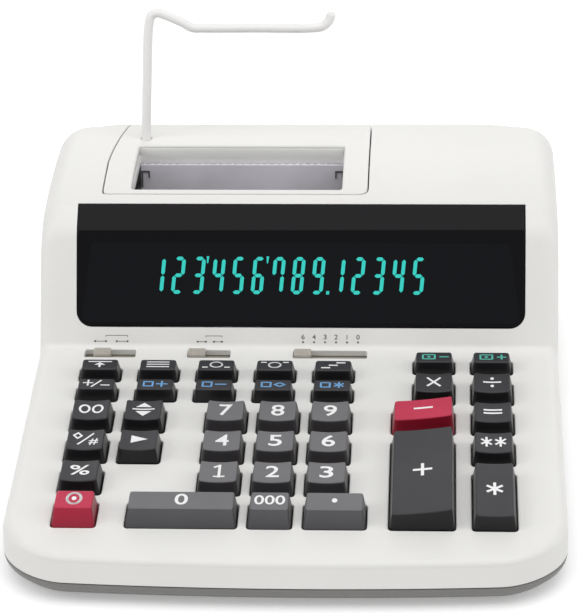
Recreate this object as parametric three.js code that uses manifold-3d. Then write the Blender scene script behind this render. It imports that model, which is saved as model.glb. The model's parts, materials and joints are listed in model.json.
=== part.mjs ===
// A printing desk calculator: a wedge-shaped two-part case with a sloping key deck, a steep
// display face, a hinged printer cover with a paper exit, and a wire arm for the paper roll.
// Millimetres, +X to the user's right, +Y to the rear, +Z up. Inside this file Y is 0 at the
// front ridge of the key deck; the exported group is moved so that its box is centred.
import * as THREE from 'three';
import { mergeVertices } from 'three/addons/utils/BufferGeometryUtils.js';
import Module from 'manifold-3d';

const wasm = await Module();
wasm.setup();
const { cos, sin, tan, PI } = Math;
const radians = THREE.MathUtils.degToRad;

// ---------------------------------------------------------------- driving dimensions (mm)

// Case
const caseWidth = 205;
const wall = 2.5;
const gap = 0.3; // clearance between pieces that rest on each other
const footHeight = 2.5;
const splitHeight = 9.2; // where the upper and lower case meet
const splitGap = 0.6;
const ridgeHeight = 18; // front edge of the key deck
const deckTilt = radians(5.5);
const deckLength = 133.6; // ridge to the foot of the display face, along the slope
const noseBow = 3; // the front wall stands this far ahead of the ridge
const frontCorner = 25;
const rearCorner = 28;
const cornerPull = 0.55; // how far the front corner's handles reach, as a share of its size
const bowEnd = 0.6; // the front wall's middle stretch starts this far ahead of the ridge
const topEdge = 10; // rounding along the upper side edges
const edgeCrest = 1; // the top stands this much above its edges, seen from the front
const edgeFall = 0.8;
const ridgeFall = 0.8; // softening of the front ridge: height in front, length behind
const ridgeRun = 1.2;
const faceTilt = radians(63);
const faceLength = 46;
const browTilt = radians(41.5);
const browLength = 11.7;
const topLength = 82; // brow to rear wall
const shoulderRise = 4.2; // rear shoulder above the brow
const shoulderSetback = 22.5; // rear shoulder ahead of the rear wall
const crownRise = 2.2;
const crownLead = 7; // the crown's highest place is this far ahead of the middle
const rearDrop = 22; // height of the rear rounding
const rearHandle = new THREE.Vector2(1.5, 1.3); // its handle, in from the rear wall and down
const trayTuck = 3.6; // the lower case draws in this far at its foot
const trayRise = 3; // height of the drawn-in part
const trayStep = 0.72;
const trayFloor = 2.2;
const lipThickness = 1.5; // rim of the lower case inside the upper one
const lipReach = 3;

// Keys, all measured on the deck
const travel = 2.5;
const keyWidth = 15.7;
const keyDepth = 14;
const smallDepth = 8.6;
const keyHeight = 6;
const smallHeight = 5;
const sideDraft = 1.25; // a key's top is this much narrower on each side
const frontDraft = 1.1;
const backDraft = 0.6;
const frontBevel = 3.3; // sloping front of the first row of keys
const bevelledDepth = 0.3;
const swoopHeight = 8.7; // right-hand height of the minus and plus keys
const keyClearance = 0.45;
const flangeWidth = 1.2;
const flangeHeight = 1;
const stemRadius = 2;
const stemLength = 3;
const holeReach = 1; // a key's hole is cut this far past the deck's underside
const firstRow = 19.6; // ridge to the front of the first row
const rowPitch = 19.08;
const memoryRow = 97; // front of the memory row
const functionRow = 110.1;
const taxRow = 116.25;
const leftColumn = -76.1;
const secondColumn = -56.1;
const numberColumn = -24.9;
const numberPitch = 19.85;
const functionPitch = 22.74;
const operatorColumn = 53.8;
const resultColumn = 76.1;
const wideKeyWidth = 23.5;
const zeroWidth = 40.1;
const pointWidth = 22.5;

// Slide switches, on the deck just ahead of the display face
const slotFront = 126.7;
const slotDepth = 5.2;
const knobWidth = 6.7;
const knobHeight = 1.2;
const slotRoom = 0.3; // between a knob and its slot
const plateTrim = 0.5; // a knob's plate is cut back this far behind it
const switchInset = 1;
const slots = [
  { name: 'power_print_slide', left: -84, length: 20.2, at: 3.3 },
  { name: 'rounding_slide', left: -43.2, length: 16.9, at: 0 },
  { name: 'decimal_slide', left: -1.5, length: 29, at: 0 },
];

// Key mat and main board, both parallel to the deck
const matThickness = 1;
const domeHeight = 0.7; // a pressed dome above the mat
const domeMargin = 1; // a dome's edge outside its stem
const bossRoom = 1; // a hole's edge outside its boss
const boardMargin = 1; // the board reaches this far behind the slots
const boardThickness = 1.5;
const boardFront = 16.5;
const boardSide = 8.5; // board edge in from the case side
const matFront = 18.5;
const matBack = 125.6;
const matSide = 15;
const bossRadius = 3;
const bossSide = 12; // outer bosses in from the case side
const innerBosses = [-40.5, 30.4];
const bossRows = [38, 92];

// Display
const windowSide = 14; // window edge in from the case side
const windowFoot = 8.2; // window edge above the foot of the display face
const windowCorner = 8;
const paneThickness = 2.5;
const paneFlange = 3;
const paneFlangeThickness = 1.5;
const paneTrim = 0.4; // the pane ends this far short of the brow
const flangeTrim = 4;
const tubeBevel = 2;
const tubeWidth = 156;
const tubeHeight = 29;
const tubeDepth = 7;
const tubeFoot = 14;

// Printer cover and paper exit
const coverLeft = 24; // cover edge in from the left side of the case
const coverRight = 27; // cover edge right of the centre line
const coverFront = 6.2; // cover edge behind the brow
const coverGap = 0.5;
const coverFoot = 58; // lower edge of the cover's rear skirt
const coverCorner = 5;
const coverBend = 30; // its left edge is straight this far behind the brow, then curves in
const coverNarrowing = 8;
const coverHandle = new THREE.Vector2(1.5, 55);
const coverThickness = 2.4;
const hingeRadius = 2.2;
const hingeOut = 1.2; // hinge axis behind the rear wall
const hingePin = 1;
const hingeLength = 6;
const hingeInset = 8; // hinges in from the cover's edges
const runningGap = 0.1; // clearance of a pin or shaft in its bore
const exitLeft = -67.5;
const exitRight = 16.8;
const exitFront = 9.2; // exit edge behind the brow
const exitBack = 44.3;
const chuteDepth = 9;
const chuteWall = 1.6;
const chuteLap = 0.4; // the rear wall of the chute stands this far into the exit
const tearHeight = 14;
const tearThickness = 1.4;
const tearLean = radians(8);
const tearLap = 1; // the tear plate's edge stands this far above the chute's foot
const tearPitch = 3;
const tearGap = 0.2;
const tearRise = 0.7;

// Paper arm
const wireRadius = 1.8;
const armX = -65.4;
const armBehindBrow = 51.4;
const armLean = radians(15);
const armHeight = 45.8; // roll bar above the cover, along the post
const armPeak = 52.4;
const armReach = 76.6;
const socketDepth = 10;
const socketWall = 1.7;
const socketFloor = 2;

// Print mechanism
const frameLeft = -71;
const frameRight = 18;
const frameSheet = 2;
const frameFront = 12; // side plates behind the brow
const frameBack = 66;
const frameFoot = 9;
const frameTop = 56;
const shaftRadius = 2.5;
const platenRadius = 9;
const platenHeight = 46;
const platenBehindBrow = 41;
const drumRadius = 8;
const paperGap = 1.5; // between the platen and the type drum
const gearThickness = 4;
const platenTeeth = 20;
const drumTeeth = 16;
const toothHeight = 1.6;
const rollerRoom = 4; // between a roller's end and a side plate
const shaftReach = 2; // a shaft stands this far out of the side plates
const shaftEnd = 1;
const inkRadius = 5;
const inkGap = 0.05; // the ink roller just clears the drum
const inkSetback = 1; // the ink roller's axis behind the drum's
const motorRadius = 9;
const motorLength = 34;
const motorDrop = 4.6; // between the platen and the motor
const motorBoss = 1; // the motor's nose is this much larger than a shaft
const tieDrop = 6; // the rear tie ends this far below the paper inlet

// Transformer, cord gland, paper inlet and feet
const transformerSize = new THREE.Vector3(42, 36, 40);
const transformerX = 66;
const transformerBehindBrow = 42;
const coreInset = 7; // the core's faces in from the coil's, and the coil's in from the core's
const coilInset = 8;
const ribHeight = 3;
const ribWidth = 3;
const ribPlace = 12; // ribs ahead of and behind the transformer's middle
const postRadius = 4;
const postInset = 8; // frame posts in from the frame's edges
const postBond = 1; // a post or rib starts this far below the tray's floor
const glandX = 70;
const glandHeight = 24;
const glandRadius = 6;
const glandFlange = 8;
const glandReach = 2;
const glandBoreRadius = 3.4;
const glandInside = 4; // the gland's barrel inside the wall
const wallTool = 20; // half length of a cutter through the rear wall
const inletLeft = -58;
const inletRight = 8;
const inletFoot = 44;
const inletTop = 54;
const footRadius = 7;
const footSide = 18;
const footFront = 22;
const footRear = 24;

// ---------------------------------------------------------------- derived places

const half = caseWidth / 2;
const creaseY = deckLength * cos(deckTilt);
const creaseZ = ridgeHeight + deckLength * sin(deckTilt);
const bendY = creaseY + faceLength * cos(faceTilt);
const bendZ = creaseZ + faceLength * sin(faceTilt);
const browY = bendY + browLength * cos(browTilt);
const browZ = bendZ + browLength * sin(browTilt);
const rearY = browY + topLength;
const shoulderY = rearY - shoulderSetback;
const shoulderZ = browZ + shoulderRise;
const crownY = (browY + shoulderY) / 2 - crownLead;
const trayTop = splitHeight - splitGap;
const floorTop = footHeight + trayFloor;

const flangeTop = -wall - gap;
const flangeFoot = flangeTop - flangeHeight;
const stemFoot = flangeFoot - stemLength;
const domeTop = stemFoot - travel - gap;
const matTop = domeTop - domeHeight;
const boardTop = matTop - matThickness - gap;
const boardFoot = boardTop - boardThickness;

// Levels below and above the whole object, for tools that cut right through it
const deep = -20;
const high = 200;
const bond = 0.2; // overlap of two shapes that are joined into one piece

// ---------------------------------------------------------------- solids from shapes

function solidOf(geometry) {
  const bare = new THREE.BufferGeometry();
  bare.setAttribute('position', geometry.getAttribute('position'));
  bare.setIndex(geometry.index);
  const merged = mergeVertices(bare, 1e-4);
  return new wasm.Manifold(new wasm.Mesh({
    numProp: 3,
    vertProperties: new Float32Array(merged.getAttribute('position').array),
    triVerts: new Uint32Array(merged.index.array),
  }));
}

function geometryOf(solid) {
  const mesh = solid.getMesh();
  const geometry = new THREE.BufferGeometry();
  geometry.setAttribute('position', new THREE.BufferAttribute(mesh.vertProperties, 3));
  geometry.setIndex(new THREE.BufferAttribute(mesh.triVerts, 1));
  const flat = geometry.toNonIndexed();
  flat.computeVertexNormals();
  return flat;
}

function join(...solids) {
  return solids.reduce((sum, solid) => sum.add(solid));
}

function cut(solid, ...tools) {
  return tools.reduce((rest, tool) => rest.subtract(tool), solid);
}

function box(x, y, z) {
  const size = [x[1] - x[0], y[1] - y[0], z[1] - z[0]];
  const geometry = new THREE.BoxGeometry(...size);
  geometry.translate((x[0] + x[1]) / 2, (y[0] + y[1]) / 2, (z[0] + z[1]) / 2);
  return solidOf(geometry);
}

function polygon(points) {
  return new THREE.Shape(points.map(([x, y]) => new THREE.Vector2(x, y)));
}

// An outline extruded from `low` to `high` along an axis. The outline's own axes are
// (Y, Z) along X, (X, Z) along Y and (X, Y) along Z.
function prism(shape, axis, low, top, curveSegments = 6) {
  const options = { depth: top - low, bevelEnabled: false, curveSegments };
  const geometry = new THREE.ExtrudeGeometry(shape, options);
  const x = new THREE.Vector3(1, 0, 0);
  const y = new THREE.Vector3(0, 1, 0);
  const z = new THREE.Vector3(0, 0, 1);
  const turn = new THREE.Matrix4();
  if (axis === 'x') turn.makeBasis(y, z, x).setPosition(low, 0, 0);
  if (axis === 'y') turn.makeBasis(x, z, y.clone().negate()).setPosition(0, top, 0);
  if (axis === 'z') turn.makeTranslation(0, 0, low);
  return solidOf(geometry.applyMatrix4(turn));
}

function cylinder(radius, length, sides, place) {
  const geometry = new THREE.CylinderGeometry(radius, radius, length, sides);
  return solidOf(geometry.applyMatrix4(place));
}

function rodAlongX(radius, x, y, z, sides = 16) {
  const place = new THREE.Matrix4().makeRotationZ(-PI / 2);
  place.setPosition((x[0] + x[1]) / 2, y, z);
  return cylinder(radius, x[1] - x[0], sides, place);
}

function rodAlongY(radius, x, y, z, sides = 16) {
  const place = new THREE.Matrix4().setPosition(x, (y[0] + y[1]) / 2, z);
  return cylinder(radius, y[1] - y[0], sides, place);
}

function rodAlongZ(radius, x, y, z, sides = 16) {
  const place = new THREE.Matrix4().makeRotationX(PI / 2);
  place.setPosition(x, y, (z[0] + z[1]) / 2);
  return cylinder(radius, z[1] - z[0], sides, place);
}

function crossing(a, b, c, d) {
  const along = b.clone().sub(a);
  const other = d.clone().sub(c);
  const share = c.clone().sub(a).cross(other) / along.cross(other);
  return a.clone().addScaledVector(along, share);
}

// A closed outline moved inwards by a distance, edge by edge. An edge that is too short
// to stay vanishes, and its neighbours meet where they cross.
function inset(points, distance) {
  const loop = THREE.ShapeUtils.isClockWise(points) ? [...points].reverse() : [...points];
  const at = (i) => loop[(i + loop.length) % loop.length];
  const inward = (from, to) => {
    const edge = to.clone().sub(from).normalize();
    return new THREE.Vector2(-edge.y, edge.x);
  };
  const moved = loop.map((point, i) => {
    const before = inward(at(i - 1), point);
    const after = inward(point, at(i + 1));
    const reach = distance / (1 + before.dot(after));
    return point.clone().addScaledVector(before.add(after), reach);
  });
  const lost = loop.findIndex((point, i) => {
    const edge = moved[(i + 1) % moved.length].clone().sub(moved[i]);
    return at(i + 1).clone().sub(point).dot(edge) <= 0;
  });
  if (lost < 0) return moved;
  const meeting = crossing(at(lost - 1), at(lost), at(lost + 1), at(lost + 2));
  loop[lost] = meeting;
  loop.splice((lost + 1) % loop.length, 1);
  return inset(loop, distance);
}

// Points of a shape's outline, without doubled ones.
function outlineOf(shape, divisions) {
  const points = shape.getPoints(divisions);
  return points.filter((point, i) => {
    const next = points[(i + 1) % points.length];
    return point.distanceTo(next) > 0.01;
  });
}

// Frames on the case: the deck has its origin at the ridge, the face at the crease.
const deckFrame = new THREE.Matrix4().makeRotationX(deckTilt).setPosition(0, 0, ridgeHeight);
const faceFrame = new THREE.Matrix4().makeRotationX(faceTilt).setPosition(0, creaseY, creaseZ);

function placed(solid, frame) {
  return solidOf(geometryOf(solid).applyMatrix4(frame));
}

// ---------------------------------------------------------------- case outlines

// The case from above.
function planOutline() {
  const shape = new THREE.Shape();
  const corner = frontCorner * cornerPull;
  shape.moveTo(half, frontCorner);
  shape.lineTo(half, rearY - rearCorner);
  shape.quadraticCurveTo(half, rearY, half - rearCorner, rearY);
  shape.lineTo(rearCorner - half, rearY);
  shape.quadraticCurveTo(-half, rearY, -half, rearY - rearCorner);
  shape.lineTo(-half, frontCorner);
  shape.bezierCurveTo(-half, frontCorner - corner, corner - half, 0, frontCorner - half, -bowEnd);
  shape.quadraticCurveTo(0, bowEnd - 2 * noseBow, half - frontCorner, -bowEnd);
  shape.bezierCurveTo(half - corner, 0, half, frontCorner - corner, half, frontCorner);
  return outlineOf(shape, 6);
}

// The case from the side, with straight sides carried down below the split.
function sideOutline() {
  const shape = new THREE.Shape();
  shape.moveTo(-noseBow, deep);
  shape.lineTo(-noseBow, splitHeight);
  shape.lineTo(-bowEnd, ridgeHeight - ridgeFall);
  shape.lineTo(ridgeRun, ridgeHeight + ridgeRun * tan(deckTilt));
  shape.lineTo(creaseY, creaseZ);
  shape.lineTo(bendY, bendZ);
  shape.lineTo(browY, browZ);
  shape.quadraticCurveTo(crownY, shoulderZ + crownRise, shoulderY, shoulderZ);
  shape.quadraticCurveTo(
    rearY - rearHandle.x, shoulderZ - rearHandle.y, rearY, shoulderZ - rearDrop,
  );
  shape.lineTo(rearY, deep);
  return outlineOf(shape, 6);
}

// The case from the front, with rounded upper edges.
function frontOutline() {
  const top = shoulderZ + crownRise;
  const shape = new THREE.Shape();
  shape.moveTo(half, deep);
  shape.lineTo(half, top - topEdge);
  shape.quadraticCurveTo(half, top - edgeCrest, half - topEdge, top - edgeFall);
  shape.lineTo(0, top + edgeCrest);
  shape.lineTo(topEdge - half, top - edgeFall);
  shape.quadraticCurveTo(-half, top - edgeCrest, -half, top - topEdge);
  shape.lineTo(-half, deep);
  return outlineOf(shape, 4);
}

function caseBody(distance) {
  const side = polygonOf(inset(sideOutline(), distance));
  const plan = polygonOf(inset(planOutline(), distance));
  const front = polygonOf(inset(frontOutline(), distance));
  return prism(side, 'x', -caseWidth, caseWidth)
    .intersect(prism(plan, 'z', deep, high))
    .intersect(prism(front, 'y', -high, 2 * high));
}

function polygonOf(points) {
  return new THREE.Shape(points);
}

// The lower case, drawn in at its foot.
function trayBody(distance) {
  const step = trayStep;
  const shoulder = footHeight + trayRise;
  const side = polygonOf(inset(polygon([
    [-noseBow, high], [-noseBow, trayTop], [step - noseBow, shoulder],
    [trayTuck - noseBow, footHeight], [rearY - trayTuck, footHeight],
    [rearY - step, shoulder], [rearY, trayTop], [rearY, high],
  ]).getPoints(), distance));
  const front = polygonOf(inset(polygon([
    [-half, high], [-half, trayTop], [step - half, shoulder], [trayTuck - half, footHeight],
    [half - trayTuck, footHeight], [half - step, shoulder], [half, trayTop], [half, high],
  ]).getPoints(), distance));
  const plan = polygonOf(inset(planOutline(), distance));
  return prism(side, 'x', -caseWidth, caseWidth)
    .intersect(prism(plan, 'z', deep, high))
    .intersect(prism(front, 'y', -high, 2 * high));
}

// ---------------------------------------------------------------- key list

function rowFront(row) {
  return firstRow + (6 - row) * rowPitch;
}

const numberX = (column) => numberColumn + column * numberPitch;
const functionX = (column) => leftColumn + column * functionPitch;
const spanDepth = (rows) => (rows - 1) * rowPitch + keyDepth;
const pointX = numberX(2) + (pointWidth - keyWidth) / 2 + 0.2;
const zeroX = numberX(0) + (keyWidth - zeroWidth) / 2;
const wideX = operatorColumn + (keyWidth - wideKeyWidth) / 2;

const black = 0x35353a;
const grey = 0x6c6c70;
const red = 0xc92a4c;

function standardKey(name, x, row, colour = black, extra = {}) {
  return {
    name, x, y: rowFront(row), width: keyWidth, depth: keyDepth, height: keyHeight, colour, ...extra,
  };
}

function smallKey(name, x, y) {
  return { name, x, y, width: keyWidth, depth: smallDepth, height: smallHeight, colour: black };
}

const firstRowShape = { frontDraft: frontBevel, backDraft: bevelledDepth };
const keys = [
  smallKey('key_feed', functionX(0), functionRow),
  smallKey('key_item', functionX(1), functionRow),
  smallKey('key_cost', functionX(2), functionRow),
  smallKey('key_sell', functionX(3), functionRow),
  smallKey('key_margin', functionX(4), functionRow),
  smallKey('key_sign', functionX(0), memoryRow),
  smallKey('key_memory_add', functionX(1), memoryRow),
  smallKey('key_memory_subtract', functionX(2), memoryRow),
  smallKey('key_memory_subtotal', functionX(3), memoryRow),
  smallKey('key_memory_total', functionX(4), memoryRow),
  smallKey('key_tax_minus', operatorColumn, taxRow),
  smallKey('key_tax_plus', resultColumn, taxRow),
  standardKey('key_multiply', operatorColumn, 2),
  standardKey('key_divide', resultColumn, 2),
  standardKey('key_clear_all', leftColumn, 3),
  standardKey('key_mark_up', secondColumn, 3),
  standardKey('key_equals', resultColumn, 3),
  standardKey('key_subtotal', leftColumn, 4),
  standardKey('key_shift_right', secondColumn, 4),
  standardKey('key_grand_total', resultColumn, 4),
  standardKey('key_percent', leftColumn, 5),
  standardKey('key_clear', leftColumn, 6, red, firstRowShape),
  standardKey('key_triple_zero', numberX(1), 6, grey, firstRowShape),
  standardKey('key_zero', zeroX, 6, grey, { ...firstRowShape, width: zeroWidth, stems: 2 }),
  standardKey('key_point', pointX, 6, grey, { ...firstRowShape, width: pointWidth }),
  standardKey('key_minus', wideX, 3, red, { width: wideKeyWidth, rightHeight: swoopHeight }),
  standardKey('key_plus', wideX, 6, black, {
    width: wideKeyWidth, depth: spanDepth(3), rightHeight: swoopHeight, stems: 2,
  }),
  standardKey('key_total', resultColumn, 6, black, { depth: spanDepth(2), stems: 2 }),
];
for (let digit = 1; digit <= 9; digit += 1) {
  const row = 5 - Math.floor((digit - 1) / 3);
  keys.push(standardKey(`key_${digit}`, numberX((digit - 1) % 3), row, grey));
}

// Where a key's stems stand, from its centre: one, or two along its longer side.
function stemOffsets(key) {
  if (key.stems !== 2) return [[0, 0]];
  const along = Math.max(key.width, key.depth) / 2 - keyDepth / 2;
  return key.width > key.depth ? [[-along, 0], [along, 0]] : [[0, -along], [0, along]];
}

function keyHole(key) {
  const side = key.width / 2 + keyClearance;
  return box(
    [key.x - side, key.x + side],
    [key.y - keyClearance, key.y + key.depth + keyClearance],
    [flangeTop - holeReach, keyHeight],
  );
}

// A key about its front centre on the deck: tapered cap, skirt, flange below the deck, stems.
function keySolid(key) {
  const side = key.width / 2;
  const cap = new THREE.BoxGeometry(1, 1, 1);
  const corner = cap.getAttribute('position');
  for (let i = 0; i < corner.count; i += 1) {
    const upper = corner.getZ(i) > 0;
    const right = corner.getX(i) > 0;
    const back = corner.getY(i) > 0;
    const front = upper ? key.frontDraft ?? frontDraft : 0;
    const rear = upper ? key.backDraft ?? backDraft : 0;
    const height = right ? key.rightHeight ?? key.height : key.height;
    const reach = side - (upper ? sideDraft : 0);
    corner.setXYZ(
      i, right ? reach : -reach, back ? key.depth - rear : front, upper ? height : 0,
    );
  }
  const skirt = box([-side, side], [0, key.depth], [flangeTop - bond, bond]);
  const flange = box(
    [-side - flangeWidth, side + flangeWidth],
    [-flangeWidth, key.depth + flangeWidth],
    [flangeFoot, flangeTop],
  );
  const stems = stemOffsets(key).map(([x, y]) => (
    rodAlongZ(stemRadius, x, key.depth / 2 + y, [stemFoot, flangeFoot + bond], 8)
  ));
  return join(solidOf(cap), skirt, flange, ...stems);
}

// ---------------------------------------------------------------- slide switches

function slotHole(slot) {
  return box(
    [slot.left, slot.left + slot.length],
    [slotFront, slotFront + slotDepth],
    [flangeTop - holeReach, keyHeight],
  );
}

function knobX(slot) {
  return slot.left + slotRoom + knobWidth / 2 + slot.at;
}

// A knob about its own centre: the cap in the slot and a plate below the deck.
function knobSolid() {
  const side = knobWidth / 2;
  const reach = slotDepth / 2 - slotRoom;
  const cap = box([-side, side], [-reach, reach], [flangeTop - flangeHeight, knobHeight]);
  const plate = box(
    [-side - flangeWidth, side + flangeWidth],
    [-reach - flangeWidth, reach + flangeWidth - plateTrim],
    [flangeFoot, flangeTop],
  );
  return cap.add(plate);
}

// The switch body on the main board below a slot.
function switchBody(slot) {
  return box(
    [slot.left + switchInset, slot.left + slot.length - switchInset],
    [slotFront, slotFront + slotDepth - switchInset],
    [boardTop - boardThickness / 2, flangeFoot - gap],
  );
}

// ---------------------------------------------------------------- main board and key mat

function bossPlaces() {
  const across = [bossSide - half, ...innerBosses, half - bossSide];
  return across.flatMap((x) => bossRows.map((y) => [x, y]));
}

function mainBoard() {
  const board = box(
    [boardSide - half, half - boardSide],
    [boardFront, slotFront + slotDepth + boardMargin],
    [boardFoot, boardTop],
  );
  return join(board, ...slots.map(switchBody));
}

function keyMat() {
  const mat = box([matSide - half, half - matSide], [matFront, matBack], [matTop - matThickness, matTop]);
  const domes = keys.flatMap((key) => stemOffsets(key).map(([x, y]) => (
    rodAlongZ(stemRadius + domeMargin, key.x + x, key.y + key.depth / 2 + y, [matTop - bond, domeTop], 8)
  )));
  const holes = bossPlaces().map(([x, y]) => (
    rodAlongZ(bossRadius + bossRoom, x, y, [matTop - 2 * matThickness, matTop + matThickness], 8)
  ));
  const switches = box([-caseWidth, caseWidth], [slotFront - switchInset, high], [deep, high]);
  return cut(join(mat, ...domes), ...holes, switches);
}

// ---------------------------------------------------------------- display

// The window's outline on the display face, from above its foot to the brow.
function faceOutline(margin) {
  const side = half - windowSide + margin;
  const foot = windowFoot - margin;
  const top = faceLength + browLength * cos(faceTilt - browTilt) + margin;
  const radius = windowCorner + margin;
  const shape = new THREE.Shape();
  shape.moveTo(side, top);
  shape.lineTo(-side, top);
  shape.lineTo(-side, foot + radius);
  shape.quadraticCurveTo(-side, foot, radius - side, foot);
  shape.lineTo(side - radius, foot);
  shape.quadraticCurveTo(side, foot, side, foot + radius);
  return shape;
}

function facePrism(margin, low, top) {
  return placed(prism(faceOutline(margin), 'z', low, top), faceFrame);
}

// A sheet that follows the display face between two depths below it.
function faceSheet(outer, inner, topTrim) {
  const path = [[creaseY, creaseZ], [bendY, bendZ], [browY, browZ]];
  const lower = [cos(faceTilt), sin(faceTilt)];
  const upper = [cos(browTilt), sin(browTilt)];
  const bendNormal = (faceTilt + browTilt) / 2;
  const bendStretch = 1 / cos((faceTilt - browTilt) / 2);
  const end = [browY - topTrim * upper[0], browZ - topTrim * upper[1]];
  const at = (depth) => [
    [path[0][0] + depth * lower[1], path[0][1] - depth * lower[0]],
    [
      path[1][0] + depth * bendStretch * sin(bendNormal),
      path[1][1] - depth * bendStretch * cos(bendNormal),
    ],
    [end[0] + depth * upper[1], end[1] - depth * upper[0]],
  ];
  return prism(polygon([...at(outer), ...at(inner).reverse()]), 'x', -caseWidth, caseWidth);
}

function displayWindow() {
  const pane = faceSheet(0, wall + gap + bond, paneTrim).intersect(facePrism(0, -high, high));
  const behind = wall + gap;
  const flange = faceSheet(behind, behind + paneFlangeThickness, flangeTrim)
    .intersect(facePrism(paneFlange, -high, high));
  return pane.add(flange);
}

// The display tube behind the window, about the face frame.
function displayTube() {
  const front = -(wall + gap + paneFlangeThickness + gap);
  const envelope = new THREE.Shape();
  const side = tubeWidth / 2;
  envelope.moveTo(-side, front - tubeDepth);
  envelope.lineTo(side, front - tubeDepth);
  envelope.lineTo(side, front - tubeBevel);
  envelope.lineTo(side - tubeBevel, front);
  envelope.lineTo(tubeBevel - side, front);
  envelope.lineTo(-side, front - tubeBevel);
  return prism(envelope, 'y', tubeFoot, tubeFoot + tubeHeight);
}

// ---------------------------------------------------------------- printer cover

// The cover's outline from above; its left edge follows the case inwards to the rear.
function coverOutline(margin) {
  const left = coverLeft - half - margin;
  const right = coverRight + margin;
  const front = browY + coverFront - margin;
  const shape = new THREE.Shape();
  shape.moveTo(left, front);
  shape.lineTo(right - coverCorner, front);
  shape.quadraticCurveTo(right, front, right, front + coverCorner);
  shape.lineTo(right, high * 2);
  shape.lineTo(left + coverNarrowing, high * 2);
  shape.lineTo(left + coverNarrowing, rearY + 1);
  shape.quadraticCurveTo(
    left + coverHandle.x, browY + coverHandle.y, left, browY + coverBend,
  );
  return shape;
}

function coverBlock(margin, foot) {
  return prism(polygonOf(outlineOf(coverOutline(margin), 5)), 'z', foot, high);
}

// The surface of the top at a distance behind the brow.
function topHeight(behind) {
  const curve = new THREE.QuadraticBezierCurve(
    new THREE.Vector2(browY, browZ),
    new THREE.Vector2(crownY, shoulderZ + crownRise),
    new THREE.Vector2(shoulderY, shoulderZ),
  );
  const points = curve.getPoints(40);
  const near = points.find((point) => point.x >= browY + behind);
  return near.y;
}

const exitFrontZ = topHeight(exitFront);
const exitBackZ = topHeight(exitBack);
const armZ = topHeight(armBehindBrow);
const armFrame = new THREE.Matrix4().makeRotationX(-armLean)
  .setPosition(armX, browY + armBehindBrow, armZ);

// The walls of the paper exit, below the cover.
function exitChute() {
  const top = exitBackZ - coverThickness / 2;
  const foot = exitBackZ - chuteDepth;
  const back = browY + exitBack;
  const front = browY + exitFront;
  const rear = box(
    [exitLeft - chuteWall, exitRight + chuteWall], [back - chuteLap, back + chuteWall], [foot, top],
  );
  const sides = [[exitLeft - chuteWall, exitLeft], [exitRight, exitRight + chuteWall]];
  const sideTop = exitFrontZ - coverThickness / 2;
  return join(rear, ...sides.map((x) => box(x, [front - chuteWall, back + chuteWall], [foot, sideTop])));
}

// The two hinges at the foot of the rear skirt: each has the cover's barrel on the inner side
// and the case's barrel with its pin on the outer side.
const hinges = [
  { start: coverLeft - half + coverNarrowing + hingeInset, inward: 1 },
  { start: coverRight - hingeInset, inward: -1 },
];

function hingeRod(hinge, radius, from, to, sides = 12) {
  const ends = [hinge.start + hinge.inward * from, hinge.start + hinge.inward * to];
  ends.sort((a, b) => a - b);
  return rodAlongX(radius, ends, rearY + hingeOut, coverFoot - coverGap / 2, sides);
}

const coverBarrels = (radius, margin) => hinges.map((hinge) => (
  hingeRod(hinge, radius, gap - margin, hingeLength + margin)
));
const caseBarrels = (radius, margin) => hinges.map((hinge) => (
  hingeRod(hinge, radius, -hingeLength - margin, margin)
));

function hingePins(radius) {
  return hinges.map((hinge) => hingeRod(hinge, radius, -bond, hingeLength - 1, 8));
}

function printerCover() {
  const panel = cut(caseBody(0), caseBody(coverThickness)).intersect(coverBlock(0, coverFoot));
  const shell = cut(
    join(cut(panel, ...caseBarrels(hingeRadius + gap, gap)), ...coverBarrels(hingeRadius, 0)),
    ...hingePins((hingePin + runningGap) / cos(PI / 8)),
  );
  const exit = box(
    [exitLeft, exitRight], [browY + exitFront, browY + exitBack], [exitBackZ - 2 * chuteDepth, high],
  );
  const sleeve = placed(rodAlongZ(
    wireRadius + gap / 2 + socketWall, 0, 0, [-socketDepth - socketFloor, -coverThickness / 2], 12,
  ), armFrame);
  const bore = placed(rodAlongZ(wireRadius + gap / 2, 0, 0, [-socketDepth, 20], 12), armFrame);
  return cut(join(cut(shell, exit), exitChute(), sleeve), bore);
}

function tearPlate() {
  const side = [exitLeft + gap, exitRight - gap];
  const plate = box(side, [-tearThickness, 0], [-tearHeight, 0]);
  const teeth = [];
  const count = Math.floor((side[1] - side[0]) / tearPitch);
  for (let i = 0; i < count; i += 1) {
    const left = side[0] + i * tearPitch;
    teeth.push(prism(
      polygon([
        [left + tearGap, -bond], [left + tearPitch - tearGap, -bond],
        [left + tearPitch / 2, tearRise],
      ]),
      'y', -tearThickness / 2, 0,
    ));
  }
  const frame = new THREE.Matrix4().makeRotationX(-tearLean)
    .setPosition(0, browY + exitBack - chuteLap - gap, exitBackZ - chuteDepth + tearLap);
  return placed(join(plate, ...teeth), frame);
}

// ---------------------------------------------------------------- paper arm

// A bent wire about the arm frame: a post, a shoulder, the roll bar and an upturned tip.
function paperArm() {
  const points = [
    [0, gap - socketDepth], [0, armPeak * 0.5], [0.3, armPeak - 6], [1.6, armPeak - 1.2],
    [3.8, armPeak], [7.2, armPeak - 0.7], [14, armHeight + 2.6], [18.6, armHeight + 0.2],
    [23, armHeight], [armReach - 8, armHeight], [armReach - 3.4, armHeight + 0.7],
    [armReach - 0.8, armHeight + 3], [armReach, armHeight + 5.8],
  ].map(([x, z]) => new THREE.Vector3(x, 0, z));
  const path = new THREE.CatmullRomCurve3(points, false, 'centripetal');
  const section = new THREE.Shape().absarc(0, 0, wireRadius, 0, 2 * PI);
  const options = { steps: 44, bevelEnabled: false, extrudePath: path, curveSegments: 4 };
  return solidOf(new THREE.ExtrudeGeometry(section, options));
}

// ---------------------------------------------------------------- print mechanism

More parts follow.
